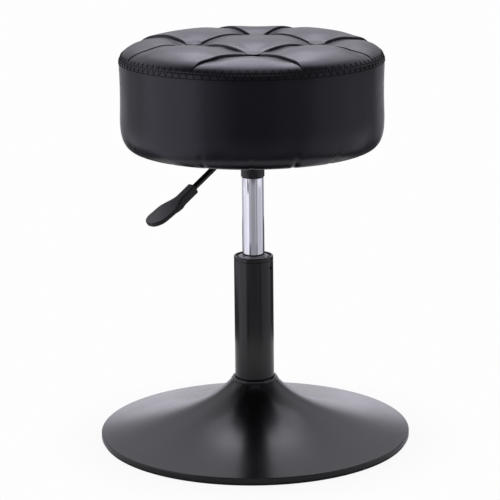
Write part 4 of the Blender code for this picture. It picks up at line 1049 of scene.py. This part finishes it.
def make_base():
    """Spun shell, floor ring, bottom plate and trim ring."""
    shell = loose_mesh("trumpet_shell", [(0, 0, 0)])
    sizes = {
        "Neck Radius": NECK_RADIUS,
        "Bell Radius": BASE_RADIUS - RIM_ROUND,
        "Bell Rise": BELL_RISE,
        "Rim Height": RIM_HEIGHT,
        "Rim Round": RIM_ROUND,
        "Rim Crease": RIM_CREASE,
        "Lip Height": LIP_BOTTOM,
        "Rings": BELL_RINGS,
        "Sides": BASE_SIDES + 1,
        "Finish": SATIN_BLACK,
    }
    run_tree(shell, make_trumpet_tree(), sizes)
    face_up(shell.data)
    wall = shell.modifiers.new("wall", "SOLIDIFY")
    wall.thickness = SHELL_WALL
    wall.offset = -1
    settle(shell)
    hand_over(shell, SATIN_BLACK, "base", "base_shell")

    inner = FLOOR_RING_RADIUS - FLOOR_RING_WIDTH
    ring = sleeve(inner, FLOOR_RING_RADIUS, 0, FLOOR_RING_HEIGHT)
    turn_piece(
        "rubber_floor_ring", ring, FLOOR_RING_ROUND, BLACK_RUBBER, "base", "floor_ring", BASE_SIDES
    )
    plate = sleeve(BASE_PLATE_EYE, FLOOR_RING_RADIUS, LIP_BOTTOM, BASE_PLATE_TOP)
    turn_piece("weight_plate", plate, BASE_PLATE_ROUND, SATIN_BLACK, "base", "bottom_plate", BASE_SIDES)

    bottom = NECK_HEIGHT + GAP
    step = bottom + TRIM_FLANGE_HEIGHT
    top = bottom + TRIM_HEIGHT
    trim = [
        (TRIM_BORE, top),
        (TRIM_BEAD_RADIUS, top),
        (TRIM_BEAD_RADIUS, step),
        (TRIM_FLANGE_RADIUS, step),
        (TRIM_FLANGE_RADIUS, bottom),
        (TRIM_BORE, bottom),
    ]
    turn_piece("column_trim_ring", trim, TRIM_ROUND, GLOSS_BLACK, "base", "trim_ring", steps=5)


def make_column():
    """Outer tube with its punched hole, guide bush and guide ring."""
    groove = COLUMN_TOP - COLUMN_CAP
    tube = [
        (COLUMN_BORE, COLUMN_TOP),
        (COLUMN_RADIUS, COLUMN_TOP),
        (COLUMN_RADIUS, groove + COLUMN_GROOVE),
        (COLUMN_RADIUS - COLUMN_GROOVE, groove),
        (COLUMN_RADIUS, groove - COLUMN_GROOVE),
        (COLUMN_RADIUS, COLUMN_BOTTOM),
        (COLUMN_BORE, COLUMN_BOTTOM),
        (COLUMN_BORE, COLUMN_FLOOR),
        (ROD_SLEEVE, COLUMN_FLOOR),
        (ROD_SLEEVE, COLUMN_FLOOR_TOP),
        (COLUMN_BORE, COLUMN_FLOOR_TOP),
    ]
    column = as_object("column_tube", turned(eased(tube, COLUMN_ROUND, 4), ROUND_SIDES))
    reach = COLUMN_RADIUS + CUT_SPARE
    turn = Matrix.Rotation(PUNCH_HEADING, 3, "Z") @ Matrix.Rotation(math.pi / 2, 3, "Y")
    rings = []
    for end in (-reach, reach):
        spots = [Vector((x, y, end)) for x, y in around(PUNCH_RADIUS, SMALL_SIDES)]
        rings.append([turn @ spot + Vector((0, 0, PUNCH_HEIGHT)) for spot in spots])
    cut_out(column, as_object("hole_cutter", skinned(rings)))
    hand_over(column, SATIN_BLACK, "base", "outer_column")

    outer = COLUMN_BORE - GAP
    lip = BUSH_TOP - BUSH_LIP_DEPTH
    inner = CYLINDER_RADIUS + GAP
    bush = [
        (BUSH_LIP_RADIUS, BUSH_TOP),
        (BUSH_LIP_RADIUS, lip),
        (outer, lip),
        (outer, BUSH_TOP - BUSH_LENGTH),
        (inner, BUSH_TOP - BUSH_LENGTH),
        (inner, BUSH_TOP),
    ]
    turn_piece("nylon_bush", bush, BUSH_ROUND, GREY_NYLON, "base", "guide_bush")
    ring = sleeve(outer - GUIDE_RING_WIDTH, outer, lip + GAP, lip + GAP + GUIDE_RING_HEIGHT)
    turn_piece("steel_ring", ring, GUIDE_RING_ROUND, BRIGHT_STEEL, "base", "guide_ring")


# Gas lift and socket

def make_lift():
    """Chrome cylinder and the slotted socket round its top."""
    neck = CYLINDER_RADIUS - NECK_STEP
    bore = CYLINDER_BORE - NECK_STEP
    tube = [
        (neck - TAPER, CYLINDER_TOP),
        (neck, CYLINDER_SHOULDER),
        (CYLINDER_RADIUS, CYLINDER_SHOULDER - NECK_STEP),
        (CYLINDER_RADIUS, CYLINDER_BOTTOM),
        (CYLINDER_BORE, CYLINDER_BOTTOM),
        (CYLINDER_BORE, CYLINDER_SHOULDER - BORE_STEP),
        (bore, CYLINDER_SHOULDER),
        (bore, CYLINDER_TOP),
    ]
    turn_piece("chrome_tube", tube, CYLINDER_ROUND, CHROME, "seat", "gas_cylinder")

    low_bore = neck + GAP
    top_bore = neck - TAPER + GAP
    socket = [
        (top_bore, SOCKET_TOP),
        (SOCKET_RADIUS, SOCKET_TOP),
        (SOCKET_RADIUS, SOCKET_BOTTOM),
        (low_bore, SOCKET_BOTTOM),
        (top_bore, CYLINDER_TOP),
    ]
    collar = as_object("seat_socket", turned(eased(socket, SOCKET_ROUND, 4), ROUND_SIDES))
    turn = Matrix.Rotation(LEVER_HEADING, 3, "Z")
    end = SOCKET_RADIUS + CUT_SPARE
    outline = [(SLOT_START, -SLOT_HALF), (end, -SLOT_HALF), (end, SLOT_HALF), (SLOT_START, SLOT_HALF)]
    levels = (SLOT_BOTTOM, SOCKET_TOP + CUT_SPARE)
    rings = [[turn @ Vector((x, y, z)) for x, y in outline] for z in levels]
    cut_out(collar, as_object("slot_cutter", skinned(rings)))
    hand_over(collar, SATIN_BLACK, "seat", "taper_socket")


# Lever

def lever_place(reach, across, height):
    """A point given along the lever's heading, across it and above the rod, in the model's frame."""
    return Matrix.Rotation(LEVER_HEADING, 3, "Z") @ Vector((reach, across, LEVER_ROD_HEIGHT + height))


def make_lever():
    """Bent rod with its boss, and the flat grip on its end."""
    slope = Vector((math.cos(LEVER_SLOPE), -math.sin(LEVER_SLOPE)))
    corner = Vector((LEVER_BEND_REACH, 0))
    run = (GRIP_REACH - LEVER_BEND_REACH) / math.cos(LEVER_SLOPE)
    make_lever_rod(corner, corner + slope * (run + GRIP_HOLE_DEPTH))
    make_lever_grip(corner + slope * run, slope)


def make_lever_rod(corner, end):
    """The rod, bent at a corner, with the boss that the pivot pin goes through."""
    trim = LEVER_BEND_RADIUS * math.tan(LEVER_SLOPE / 2)
    middle = Vector((corner.x - trim, -LEVER_BEND_RADIUS))
    path = [Vector((-LEVER_TIP, 0)), Vector((-LEVER_TIP + LEVER_TIP_ROUND, 0))]
    for i in range(LEVER_BEND_STEPS + 1):
        turn = math.pi / 2 - LEVER_SLOPE * i / LEVER_BEND_STEPS
        path.append(middle + LEVER_BEND_RADIUS * Vector((math.cos(turn), math.sin(turn))))
    path.append(end)
    rings = []
    for i, point in enumerate(path):
        way = (path[min(i + 1, len(path) - 1)] - path[max(i - 1, 0)]).normalized()
        radius = LEVER_ROD_RADIUS - (LEVER_TIP_ROUND if i == 0 else 0)
        ring = []
        for across, side in around(radius, SMALL_SIDES):
            ring.append(lever_place(point.x - way.y * side, across, point.y + way.x * side))
        rings.append(ring)
    bm = skinned(rings)
    eye = sleeve(BOSS_EYE, BOSS_RADIUS, -BOSS_WIDTH / 2, BOSS_WIDTH / 2)
    boss = turned(eased(eye, BOSS_ROUND), SMALL_SIDES)
    stand = Matrix.Translation((PIVOT_REACH, 0, LEVER_ROD_HEIGHT)) @ Matrix.Rotation(math.pi / 2, 4, "X")
    stand = Matrix.Rotation(LEVER_HEADING, 4, "Z") @ stand
    bmesh.ops.transform(boss, matrix=stand, verts=boss.verts)
    bm.from_mesh(mesh_from("pivot_boss", boss))
    hand_over(as_object("bent_lever_rod", bm), SATIN_BLACK, "lever", "lever_rod")


def make_lever_grip(start, slope):
    """The grip along the sloping end of the rod, from its mouth to its tip."""
    sections = []
    for i in range(GRIP_SECTIONS + 1):
        station = GRIP_LENGTH * math.sin(i / GRIP_SECTIONS * math.pi / 2) ** GRIP_CROWDING
        section = []
        for y, z in grip_section(station):
            reach = start.x + station * slope.x - z * slope.y
            section.append(lever_place(reach, y, start.y + station * slope.y + z * slope.x))
        sections.append(section)
    hand_over(as_object("flat_lever_grip", skinned(sections)), MATTE_BLACK, "lever", "lever_grip")


def round_end(share):
    """Falls from 1 to 0 along a quarter circle as the share goes from 0 to 1."""
    return math.sqrt(max(0.0, 1 - max(0.0, share) ** 2))


def grip_section(station):
    """One rounded section of the grip: a boxy socket that spreads into a thin lifted blade."""
    spread = smooth_share((station - GRIP_NECK_START) / (GRIP_NECK_END - GRIP_NECK_START))
    width = GRIP_SOCKET_WIDTH + (GRIP_BLADE_WIDTH - GRIP_SOCKET_WIDTH) * spread
    thinned = np.clip((station - GRIP_DEEP_END) / (GRIP_THIN_START - GRIP_DEEP_END), 0, 1)
    height = GRIP_SOCKET_HEIGHT + (GRIP_BLADE_HEIGHT - GRIP_SOCKET_HEIGHT) * thinned
    tip_run = GRIP_BLADE_WIDTH / 2
    width = max(width * round_end((station - (GRIP_LENGTH - tip_run)) / tip_run), GRIP_TIP_WIDTH)
    beyond = max(0.0, station - GRIP_NECK_START) / (GRIP_LENGTH - GRIP_NECK_START)
    top = GRIP_SOCKET_HEIGHT / 2 + GRIP_BLADE_LIFT * beyond**2
    end_ease = round_end((station - GRIP_LENGTH + GRIP_TIP_ROUND) / GRIP_TIP_ROUND)
    height *= GRIP_TIP_SHARE + (1 - GRIP_TIP_SHARE) * end_ease
    middle = top - GRIP_BLADE_HEIGHT / 2 if end_ease < 1 else top - height / 2
    mouth = max(0.0, 1 - station / GRIP_MOUTH_RUN)
    width -= GRIP_MOUTH_CUT * mouth
    height -= GRIP_MOUTH_CUT * mouth
    rounding = min(GRIP_EDGE_ROUND, CORNER_SHARE * height, CORNER_SHARE * width)
    points = []
    for quarter in range(4):
        y_side = 1 if quarter in (0, 3) else -1
        z_side = 1 if quarter < 2 else -1
        corner_y = y_side * (width / 2 - rounding)
        corner_z = middle + z_side * (height / 2 - rounding)
        for step in range(GRIP_EDGE_STEPS + 1):
            turn = quarter * math.pi / 2 + math.pi / 2 * step / GRIP_EDGE_STEPS
            points.append((corner_y + rounding * math.cos(turn), corner_z + rounding * math.sin(turn)))
    return points


# Seat cushion

def crest(radius):
    """Height of the seat's top at a radius before the tufts draw it down: level over the middle."""
    share = np.clip(radius / SEAT_RADIUS, 0.0, 1.0)
    crown = CROWN_BASE + CROWN_HEIGHT * (1 - share**CROWN_POWER) ** (1 / CROWN_POWER)
    return crown - CROWN_EASE * np.log1p(np.exp((crown - CROWN_LEVEL) / CROWN_EASE))


def crown_radius(height):
    """Radius of the crown at a height above its base."""
    share = (height - CROWN_BASE) / CROWN_HEIGHT
    return SEAT_RADIUS * (1 - share**CROWN_POWER) ** (1 / CROWN_POWER)


SEAM_RADIUS = crown_radius(SEAM_HEIGHT)
TUFT_TURNS = [FRONT + TUFT_TWIST + math.pi / 2 * i for i in range(4)]
TUFTS = np.array([(math.cos(t), math.sin(t)) for t in TUFT_TURNS]) * TUFT_CIRCLE + TUFT_SHIFT


def rim_points(turns):
    """Points of the seam in plan."""
    return np.stack([np.cos(turns), np.sin(turns)], axis=-1) * SEAM_RADIUS


CHORDS = [(TUFTS[index], TUFTS[(index + 1) % 4]) for index in range(4)]
SPOKES = [
    (TUFTS[index], rim_points(np.array(turn + side * FOLD_SPREAD)))
    for index, turn in enumerate(TUFT_TURNS)
    for side in (-1, 1)
]


def distances_to_lines(places, lines):
    """Each place's distances in plan to some folds, given as (start, end), one column for each."""
    columns = []
    for start, end in lines:
        run = end - start
        share = np.clip((places - start) @ run / (run @ run), 0, 1)
        columns.append(np.linalg.norm(places - start - share[:, None] * run, axis=1))
    return np.column_stack(columns)


def distance_to_folds(places):
    """Each place's distance in plan to the nearest fold of either kind."""
    return distances_to_lines(places, CHORDS + SPOKES).min(axis=1)


def distance_to_tufts(places):
    """Each place's distance in plan to the nearest tuft."""
    return np.min([np.linalg.norm(places - tuft, axis=1) for tuft in TUFTS], axis=0)


def lobe_grids():
    """The nine lobes in plan as (kind, lift of its edges, grid of places crowding to the folds)."""
    steps = np.linspace(0, 1, LOBE_STEPS + 1)
    share = (1 - np.cos(np.pi * steps)) / 2
    share = share + LOBE_CROWDING * (smooth_share(share) - share)
    across = share[:, None, None]
    along = share[None, :, None]
    left = TUFTS[0] + (TUFTS[3] - TUFTS[0]) * across
    right = TUFTS[1] + (TUFTS[2] - TUFTS[1]) * across
    grids = [("centre", 0.0, left + (right - left) * along)]
    for index, turn in enumerate(TUFT_TURNS):
        here = TUFTS[index]
        chord = here + (TUFTS[(index + 1) % 4] - here) * across
        fan_rim = rim_points(turn + FOLD_SPREAD * (2 * share - 1))[:, None, :]
        corner_rim = rim_points(turn + FOLD_SPREAD + (math.pi / 2 - 2 * FOLD_SPREAD) * share)[:, None, :]
        grids.append(("fan", 0.0, here + (fan_rim - here) * along))
        grids.append(("corner", CORNER_LIFTS[index], chord + (corner_rim - chord) * along))
    return grids


def pit_share(tuft, run=PIT_RUN, power=PIT_POWER):
    """1 over a tuft's button, falling to 0 where its pit ends."""
    return (1 - np.clip((tuft - PIT_RADIUS) / run, 0, 1)) ** power


def fan_depth(places, spoke, to_seam):
    """How deep the nearest tuft draws its fan, which hangs lower beside its spokes."""
    away = np.linalg.norm(places[:, None, :] - TUFTS[None, :, :], axis=2)
    near = away.argmin(axis=1)
    middle = FAN_DEPTHS[near]
    own = middle + (FAN_EDGE_DEPTHS[near] - middle) * half_wave(spoke / SPOKE_FADE)
    own = own * smooth_share(to_seam / FAN_RIM_FADE)
    return own + (TUFT_DEPTH - own) * pit_share(away.min(axis=1), FAN_RUNS[near], FAN_POWERS[near])


def puffed_places(places, kind, lift):
    """Places of one lobe in space: it rolls over into the folds beside it and sinks to the tufts."""
    radius = np.linalg.norm(places, axis=1)
    to_seam = SEAM_RADIUS - radius
    chord = distances_to_lines(places, CHORDS).min(axis=1)
    spokes = distances_to_lines(places, SPOKES)
    spoke = spokes.min(axis=1)
    fold = np.minimum(chord, spoke)
    tuft = distance_to_tufts(places)
    clear = smooth_share((tuft - WALL_START) / WALL_RUN)
    open_out = RIM_FOLD_SHARE + (1 - RIM_FOLD_SHARE) * smooth_share(to_seam / RIM_RUN)

    puff = PUFF_DEPTH * half_wave(fold / PUFF_REACH) * smooth_share((PUFF_OUTER - radius) / PUFF_RUN)
    pad = puff + (TUFT_DEPTH - puff) * pit_share(tuft)
    fan_edge = fan_depth(places, 0, to_seam)
    wall = np.minimum(SPOKE_WALLS[spokes.argmin(axis=1)], fan_edge + WALL_SPARE) * clear

    at_spoke = chord / np.maximum(chord + spoke, TINY)
    open_fold = VALLEY_DEPTH * smooth_share((tuft - VALLEY_START) / VALLEY_RUN) * open_out
    bottom = at_spoke * np.maximum(fan_edge, fan_edge - wall) + (1 - at_spoke) * pad + open_fold
    if kind == "fan":
        own = fan_depth(places, spoke, to_seam)
    elif kind == "centre":
        front = smooth_share(0.5 - places[:, 1] / FRONT_RUN)
        own = pad - clear * front * CHORD_LIP * swell(chord, CHORD_LIP_PLACE, CHORD_LIP_WIDTH)
    else:
        if lift < 0:
            pad = puff + (TUFT_DEPTH - puff) * pit_share(tuft, FRONT_PIT_RUN, FRONT_PIT_POWER)
        own = pad - clear * lift * half_wave(chord / PUFF_REACH)
        own += (fan_edge - wall - own) * half_wave(spoke / SPOKE_FADE)
    width = VALLEY_WIDTH * (VALLEY_RIM_SHARE + (1 - VALLEY_RIM_SHARE) * open_out)
    turn = np.clip((fold - ON_FOLD) / width, 0, 1)
    rounding = (1 - (1 - turn) ** VALLEY_POWER) ** (1 / VALLEY_POWER)
    depth = bottom + (own - bottom) * rounding
    heading = np.arctan2(places[:, 1], places[:, 0])
    gather = np.sin(heading * PUCKER_COUNT + tuft * PUCKER_LEAN) * swell(tuft, 0, PUCKER_REACH)
    depth += PUCKER * gather * rounding
    depth *= smooth_share(to_seam / SEAM_FLAT)
    back = smooth_share((places[:, 1] - BACK_START) / BACK_RUN)
    depth -= BACK_RISE * back * smooth_share(to_seam / RIM_RUN)
    return below_crest(places, radius, depth)


def below_crest(places, radius, depth):
    """Places in space at a depth below the crest, measured square to it."""
    rise = crest(radius + SLOPE_STEP) - crest(radius - SLOPE_STEP)
    slope = np.clip(rise / (2 * SLOPE_STEP), STEEPEST, 0)
    steep = np.sqrt(1 + slope**2)
    drawn_in = (radius + depth * slope / steep) / np.maximum(radius, MERGE)
    return np.column_stack([places * drawn_in[:, None], crest(radius) - depth / steep])


def make_panel():
    """The tufted top panel as an open sheet, puffed up between its folds by a cloth simulation."""
    bm = bmesh.new()
    for kind, lift, grid in lobe_grids():
        count = len(grid)
        verts = [bm.verts.new(spot) for spot in puffed_places(grid.reshape(-1, 2), kind, lift)]
        for i in range(count - 1):
            for a in range(i * count, (i + 1) * count - 1):
                bm.faces.new((verts[a], verts[a + 1], verts[a + count + 1], verts[a + count]))
    bmesh.ops.remove_doubles(bm, verts=bm.verts, dist=MERGE)
    panel = as_object("tufted_panel", bm)
    face_up(panel.data)
    start = np.array([v.co[:] for v in panel.data.vertices])
    plan = start[:, :2]
    held = np.maximum.reduce([
        held_near(distance_to_folds(plan), *FOLD_HOLD),
        held_near(distance_to_tufts(plan), *TUFT_HOLD),
        held_near(SEAM_RADIUS - np.linalg.norm(plan, axis=1), *SEAM_HOLD),
    ])
    moved = blown_up(panel, held) - start
    length = np.linalg.norm(moved, axis=1)
    capped = PADDING_CAP * np.tanh(length / PADDING_CAP)
    start = start + moved * (capped / np.maximum(length, TINY))[:, None]
    panel.data.vertices.foreach_set("co", start.ravel())
    sharpen_folds(panel.data)
    finer = panel.modifiers.new("finer", "SUBSURF")
    finer.levels = finer.render_levels = 1
    settle(panel)
    return panel


def blown_up(panel, held):
    """Where the panel's points go when pressure fills it, with its folds, tufts and seam held."""
    group = panel.vertex_groups.new(name="sewn_down")
    for index, weight in enumerate(held):
        if weight > 0:
            group.add([index], float(weight), "REPLACE")
    cloth = panel.modifiers.new("padding", "CLOTH")
    settings = cloth.settings
    settings.quality = 6
    settings.mass = 0.3
    settings.use_pressure = True
    settings.uniform_pressure_force = PADDING_PRESSURE
    settings.vertex_group_mass = "sewn_down"
    settings.effector_weights.gravity = 0
    cloth.collision_settings.use_collision = False
    cloth.collision_settings.use_self_collision = False
    cloth.point_cache.frame_start = 1
    cloth.point_cache.frame_end = PADDING_FRAMES
    for number in range(1, PADDING_FRAMES + 1):
        scene.frame_set(number)
    mesh = evaluated_mesh(panel)
    places = np.array([v.co[:] for v in mesh.vertices])
    panel.modifiers.clear()
    bpy.data.meshes.remove(mesh)
    scene.frame_set(1)
    return places


def sharpen_folds(mesh):
    """Marks the edges that lie along the folds, so that subdivision keeps them crisp."""
    plan = np.array([v.co[:2] for v in mesh.vertices])
    on_fold = (distance_to_folds(plan) < CREASE_NEAR) & (distance_to_tufts(plan) > CREASE_START)
    crease = mesh.attributes.new("crease_edge", "FLOAT", "EDGE")
    for edge in mesh.edges:
        if all(on_fold[index] for index in edge.vertices):
            crease.data[edge.index].value = CREASE_WEIGHT


def pleat_pull(turns, heights):
    """How far the pleats of the lower edge draw the cover in, and where they let it bulge."""
    # Sines of odd steps stand in for chance here and below, so that each run gives the same
    shape = np.zeros_like(turns)
    for index in range(PLEAT_COUNT):
        wander = PLEAT_WANDER * math.sin(2.4 * index)
        heading = PLEAT_START + 2 * math.pi * index / PLEAT_COUNT + math.radians(wander)
        offset = (turns - heading + math.pi) % (2 * math.pi) - math.pi
        across = offset * SEAT_RADIUS / PLEAT_HALF_WIDTH
        depth = PLEAT_MEAN + PLEAT_UNEVEN * math.sin(5.1 * index)
        bulge = BULGE_SHARE * swell(np.abs(across), BULGE_PLACE, BULGE_WIDTH)
        shape += depth * (swell(across, 0, 1) - bulge)
    return PLEAT_DEPTH * shape * smooth_share((PLEAT_TOP - heights) / PLEAT_RUN)


def side_profile():
    """The seat's side from just under the seam to the inner edge of the wrap, as (radius, height)."""
    profile = [(crown_radius(SEAM_HEIGHT - drop), SEAM_HEIGHT - drop) for drop in SEAM_DROPS]
    rise = CROWN_BASE - SEAT_CORNER_TOP
    for i in range(SIDE_ROWS + 1):
        share = i / SIDE_ROWS
        waist = SEAT_WAIST * math.sin(math.pi * share)
        profile.append((SEAT_RADIUS - waist, CROWN_BASE - rise * share))
    power = 2 / SEAT_CORNER_POWER
    width = SEAT_RADIUS - SEAT_FLAT_RADIUS
    height = SEAT_CORNER_TOP - SEAT_BOTTOM
    for i in range(1, CORNER_ROWS + 1):
        turn = math.pi / 2 * i / CORNER_ROWS
        out = math.cos(turn) ** power if i < CORNER_ROWS else 0.0
        down = math.sin(turn) ** power
        profile.append((SEAT_FLAT_RADIUS + width * out, SEAT_CORNER_TOP - height * down))
    for i in range(1, WRAP_ROWS + 1):
        radius = SEAT_FLAT_RADIUS + (WRAP_RADIUS - SEAT_FLAT_RADIUS) * i / WRAP_ROWS
        profile.append((radius, SEAT_BOTTOM))
    return profile


def seam_shift(distance):
    """How far the cover moves out at a distance from the seam: in along it, then over a small roll."""
    groove = SEAM_GROOVE * swell(distance, 0, SEAM_GROOVE_WIDTH)
    return SEAM_ROLL * swell(distance, SEAM_ROLL_PLACE, SEAM_ROLL_WIDTH) - groove


def sink_seam(bm):
    """Draws the panel into the seam and rolls its edge out just above it."""
    for vert in bm.verts:
        above = vert.co.z - SEAM_HEIGHT
        radius = math.hypot(vert.co.x, vert.co.y)
        if above < SEAM_REACH and radius > SEAM_INNER:
            grown = 1 + seam_shift(above) / radius
            vert.co.x *= grown
            vert.co.y *= grown


def add_ring(bm, previous, reach, level, turns):
    """Adds one ring of the cushion's side under the previous one."""
    spots = np.column_stack([reach * np.cos(turns), reach * np.sin(turns), level])
    ring = [bm.verts.new(spot) for spot in spots]
    join_rows(bm, ring, previous)
    return ring


def make_cushion():
    """The seat's padded cover as one closed piece: panel, side band, wrap and the board's recess."""
    panel = make_panel()
    bm = bmesh.new()
    bm.from_mesh(panel.data)
    bpy.data.objects.remove(panel)
    edge = sorted(
        {v for e in bm.edges if e.is_boundary for v in e.verts},
        key=lambda v: math.atan2(v.co.y, v.co.x),
    )
    turns = np.array([math.atan2(v.co.y, v.co.x) for v in edge])
    for vert, turn in zip(edge, turns):
        vert.co = (SEAM_RADIUS * math.cos(turn), SEAM_RADIUS * math.sin(turn), SEAM_HEIGHT)
    sink_seam(bm)

    even = np.ones(len(turns))
    gathers = np.sin(turns * PLEAT_COUNT * 3 + 0.6 * np.sin(turns * 7))
    previous = edge
    for radius, height in side_profile():
        level = even * height
        pull = pleat_pull(turns, level)
        corner = smooth_share((SEAT_CORNER_TOP - height) / (SEAT_CORNER_TOP - SEAT_BOTTOM))
        reach = even * (radius + seam_shift(SEAM_HEIGHT - height)) - pull * (1 - PLEAT_LIFT * corner)
        level += np.maximum(pull, 0) * PLEAT_LIFT * corner
        if radius < SEAT_FLAT_RADIUS:
            flap = smooth_share((SEAT_FLAT_RADIUS - radius) / WRAP_WAVE_RUN)
            level += WRAP_WAVE * (1 + gathers) * flap
        previous = add_ring(bm, previous, reach, level, turns)
    top = DUST_COVER_TOP + THIN_GAP
    board = BOARD_RADIUS + GAP
    roof = BOARD_TOP + GAP
    recess = [(WRAP_RADIUS, top), (board, top), (board, roof)]
    recess += [(radius, roof) for radius in RECESS_RINGS]
    for radius, height in recess:
        previous = add_ring(bm, previous, even * radius, even * height, turns)
    middle = bm.verts.new((0, 0, roof))
    for i in range(len(previous)):
        bm.faces.new((previous[i], previous[(i + 1) % len(previous)], middle))
    cushion = as_object("seat_cushion", bm)
    hand_over(cushion, BLACK_VINYL, "seat", "top_panel", "side_band", "foam_pad")
    return cushion


# Buttons, stitches and what is under the seat

def make_buttons():
    """Covered buttons that sit in the pits."""
    edge = BUTTON_BOTTOM + BUTTON_EDGE
    profile = [(0, BUTTON_BOTTOM + BUTTON_HEIGHT)]
    for i in range(1, BUTTON_ROWS + 1):
        turn = math.pi / 2 * i / BUTTON_ROWS
        rise = (BUTTON_HEIGHT - BUTTON_EDGE) * math.cos(turn)
        profile.append((BUTTON_RADIUS * math.sin(turn), edge + rise))
    profile += [(BUTTON_RADIUS - cut, BUTTON_BOTTOM + rise) for cut, rise in BUTTON_WAIST]
    profile.append((0, BUTTON_BOTTOM))
    for number, (place, lift) in enumerate(zip(TUFTS, BUTTON_LIFTS), 1):
        bm = turned(profile, SMALL_SIDES)
        bmesh.ops.translate(bm, verts=bm.verts, vec=(*place, lift))
        button = as_object(f"covered_button_{number}", bm)
        hand_over(button, BLACK_VINYL, "seat", f"tuft_button_{number}")


def on_cushion(surface, turn, height):
    """The point of the cushion's side at a heading and a height, with the way out of it."""
    way = Vector((math.cos(turn), math.sin(turn), 0))
    place, normal, _, _ = surface.ray_cast(way * STITCH_LOOK_FROM + Vector((0, 0, height)), -way)
    return place, normal if normal.dot(way) > 0 else -normal


def make_stitches(cushion):
    """Zigzag stitches across the seam, with a running thread between their lower holes."""
    mesh = cushion.data
    corners = [v.co[:] for v in mesh.vertices]
    surface = BVHTree.FromPolygons(corners, [p.vertices[:] for p in mesh.polygons])
    pitch = 2 * math.pi / STITCH_COUNT
    points, outward, edges = [], [], []
    for index in range(STITCH_COUNT):
        low, high, after = (index, STITCH_LOW), (index + 0.5, STITCH_HIGH), (index + 1, STITCH_LOW)
        for start, end in ((low, high), (high, after), (low, after)):
            for step in range(STITCH_STEPS + 1):
                share = step / STITCH_STEPS
                turn = (start[0] + (end[0] - start[0]) * share) * pitch
                place, way = on_cushion(surface, turn, start[1] + (end[1] - start[1]) * share)
                if step:
                    edges.append((len(points) - 1, len(points)))
                points.append(place)
                outward.append(way)
    stitches = loose_mesh("seam_stitches", points, edges, outward=outward)
    sizes = {"Thread Radius": THREAD_RADIUS, "Lift": STITCH_LIFT, "Finish": SEAM_THREAD}
    run_tree(stitches, make_stitch_tree(), sizes)
    hand_over(stitches, SEAM_THREAD, "seat")


def slack_drop(radius, turn):
    """How far the dust cover hangs down at a place between the bolts and its stapled edge."""
    slack = smooth_share((DUST_COVER_EDGE[-1] - radius) / SLACK_EDGE_RUN)
    slack *= smooth_share((radius - SLACK_START) / SLACK_RUN)
    wave = math.sin(9 * turn + 60 * radius) * math.sin(140 * radius + 2 * math.sin(4 * turn))
    return SLACK_DROP * slack * (0.5 + 0.5 * wave)


def make_under_cloth():
    """The dust cover: a slack disc of felt held up under the board."""
    flat = np.linspace(DUST_COVER_EYE, DUST_COVER_FLAT, DUST_COVER_ROWS)
    radii = np.concatenate([flat, DUST_COVER_EDGE])
    turns = [2 * math.pi * step / DUST_COVER_SIDES for step in range(DUST_COVER_SIDES)]
    bm = bmesh.new()
    rims = []
    for level in (DUST_COVER_BOTTOM, DUST_COVER_TOP - THIN_GAP):
        rows = []
        for radius in radii:
            spots = [
                (radius * math.cos(turn), radius * math.sin(turn), level - slack_drop(radius, turn))
                for turn in turns
            ]
            rows.append([bm.verts.new(spot) for spot in spots])
        for low, high in zip(rows, rows[1:]):
            join_rows(bm, low, high)
        bm.faces.new(rows[0])
        rims.append(rows[-1])
    join_rows(bm, *rims)
    hand_over(as_object("under_cloth", bm), DARK_FELT, "seat", "dust_cover")


def make_staples():
    """Staples that hold the wrap and the dust cover to the board."""
    points, along = [], []
    for count, radius, height, skew in (
        (WRAP_STAPLES, WRAP_STAPLE_RADIUS, SEAT_BOTTOM + GAP, WRAP_STAPLE_SKEW),
        (CLOTH_STAPLES, CLOTH_STAPLE_RADIUS, DUST_COVER_BOTTOM - THIN_GAP, CLOTH_STAPLE_SKEW),
    ):
        for index in range(count):
            turn = 2 * math.pi * (index + STAPLE_WANDER * math.sin(3.7 * index)) / count
            lean = turn + math.pi / 2 + skew * math.sin(1.9 * index)
            points.append((radius * math.cos(turn), radius * math.sin(turn), height))
            along.append((math.cos(lean), math.sin(lean), 0))
    staples = loose_mesh("board_staples", points, along=along)
    sizes = {"Crown Width": STAPLE_WIDTH, "Wire Radius": STAPLE_WIRE, "Finish": BRIGHT_STEEL}
    run_tree(staples, make_staple_tree(), sizes)
    hand_over(staples, BRIGHT_STEEL, "seat")


def dress_hardware():
    """Seat plate, ears, pins and bolts keep their CAD shape with broken edges."""
    for node in ("seat_plate", "lever_ear_left", "lever_ear_right"):
        softened_copy(node, PLATE_EDGE, "seat", SATIN_BLACK)
    names = ["pivot_pin", "pivot_clip"]
    names += [f"{name}_{index}" for name in ("seat_bolt", "bolt_washer") for index in range(1, 5)]
    for node in names:
        softened_copy(node, PIN_EDGE, "seat", BRIGHT_STEEL)


def finish_hidden_nodes():
    """Gives every CAD node its procedural finish, by the name of the finish that it came with."""
    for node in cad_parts.values():
        for slot in node.material_slots:
            slot.material = FINISHES[slot.material.name.removeprefix("packed_")]


set_camera()
make_world()
make_floor()
make_lights()
finish_hidden_nodes()
make_base()
make_column()
make_lift()
make_lever()
dress_hardware()
seat_cushion = make_cushion()
make_buttons()
make_stitches(seat_cushion)
make_under_cloth()
make_staples()
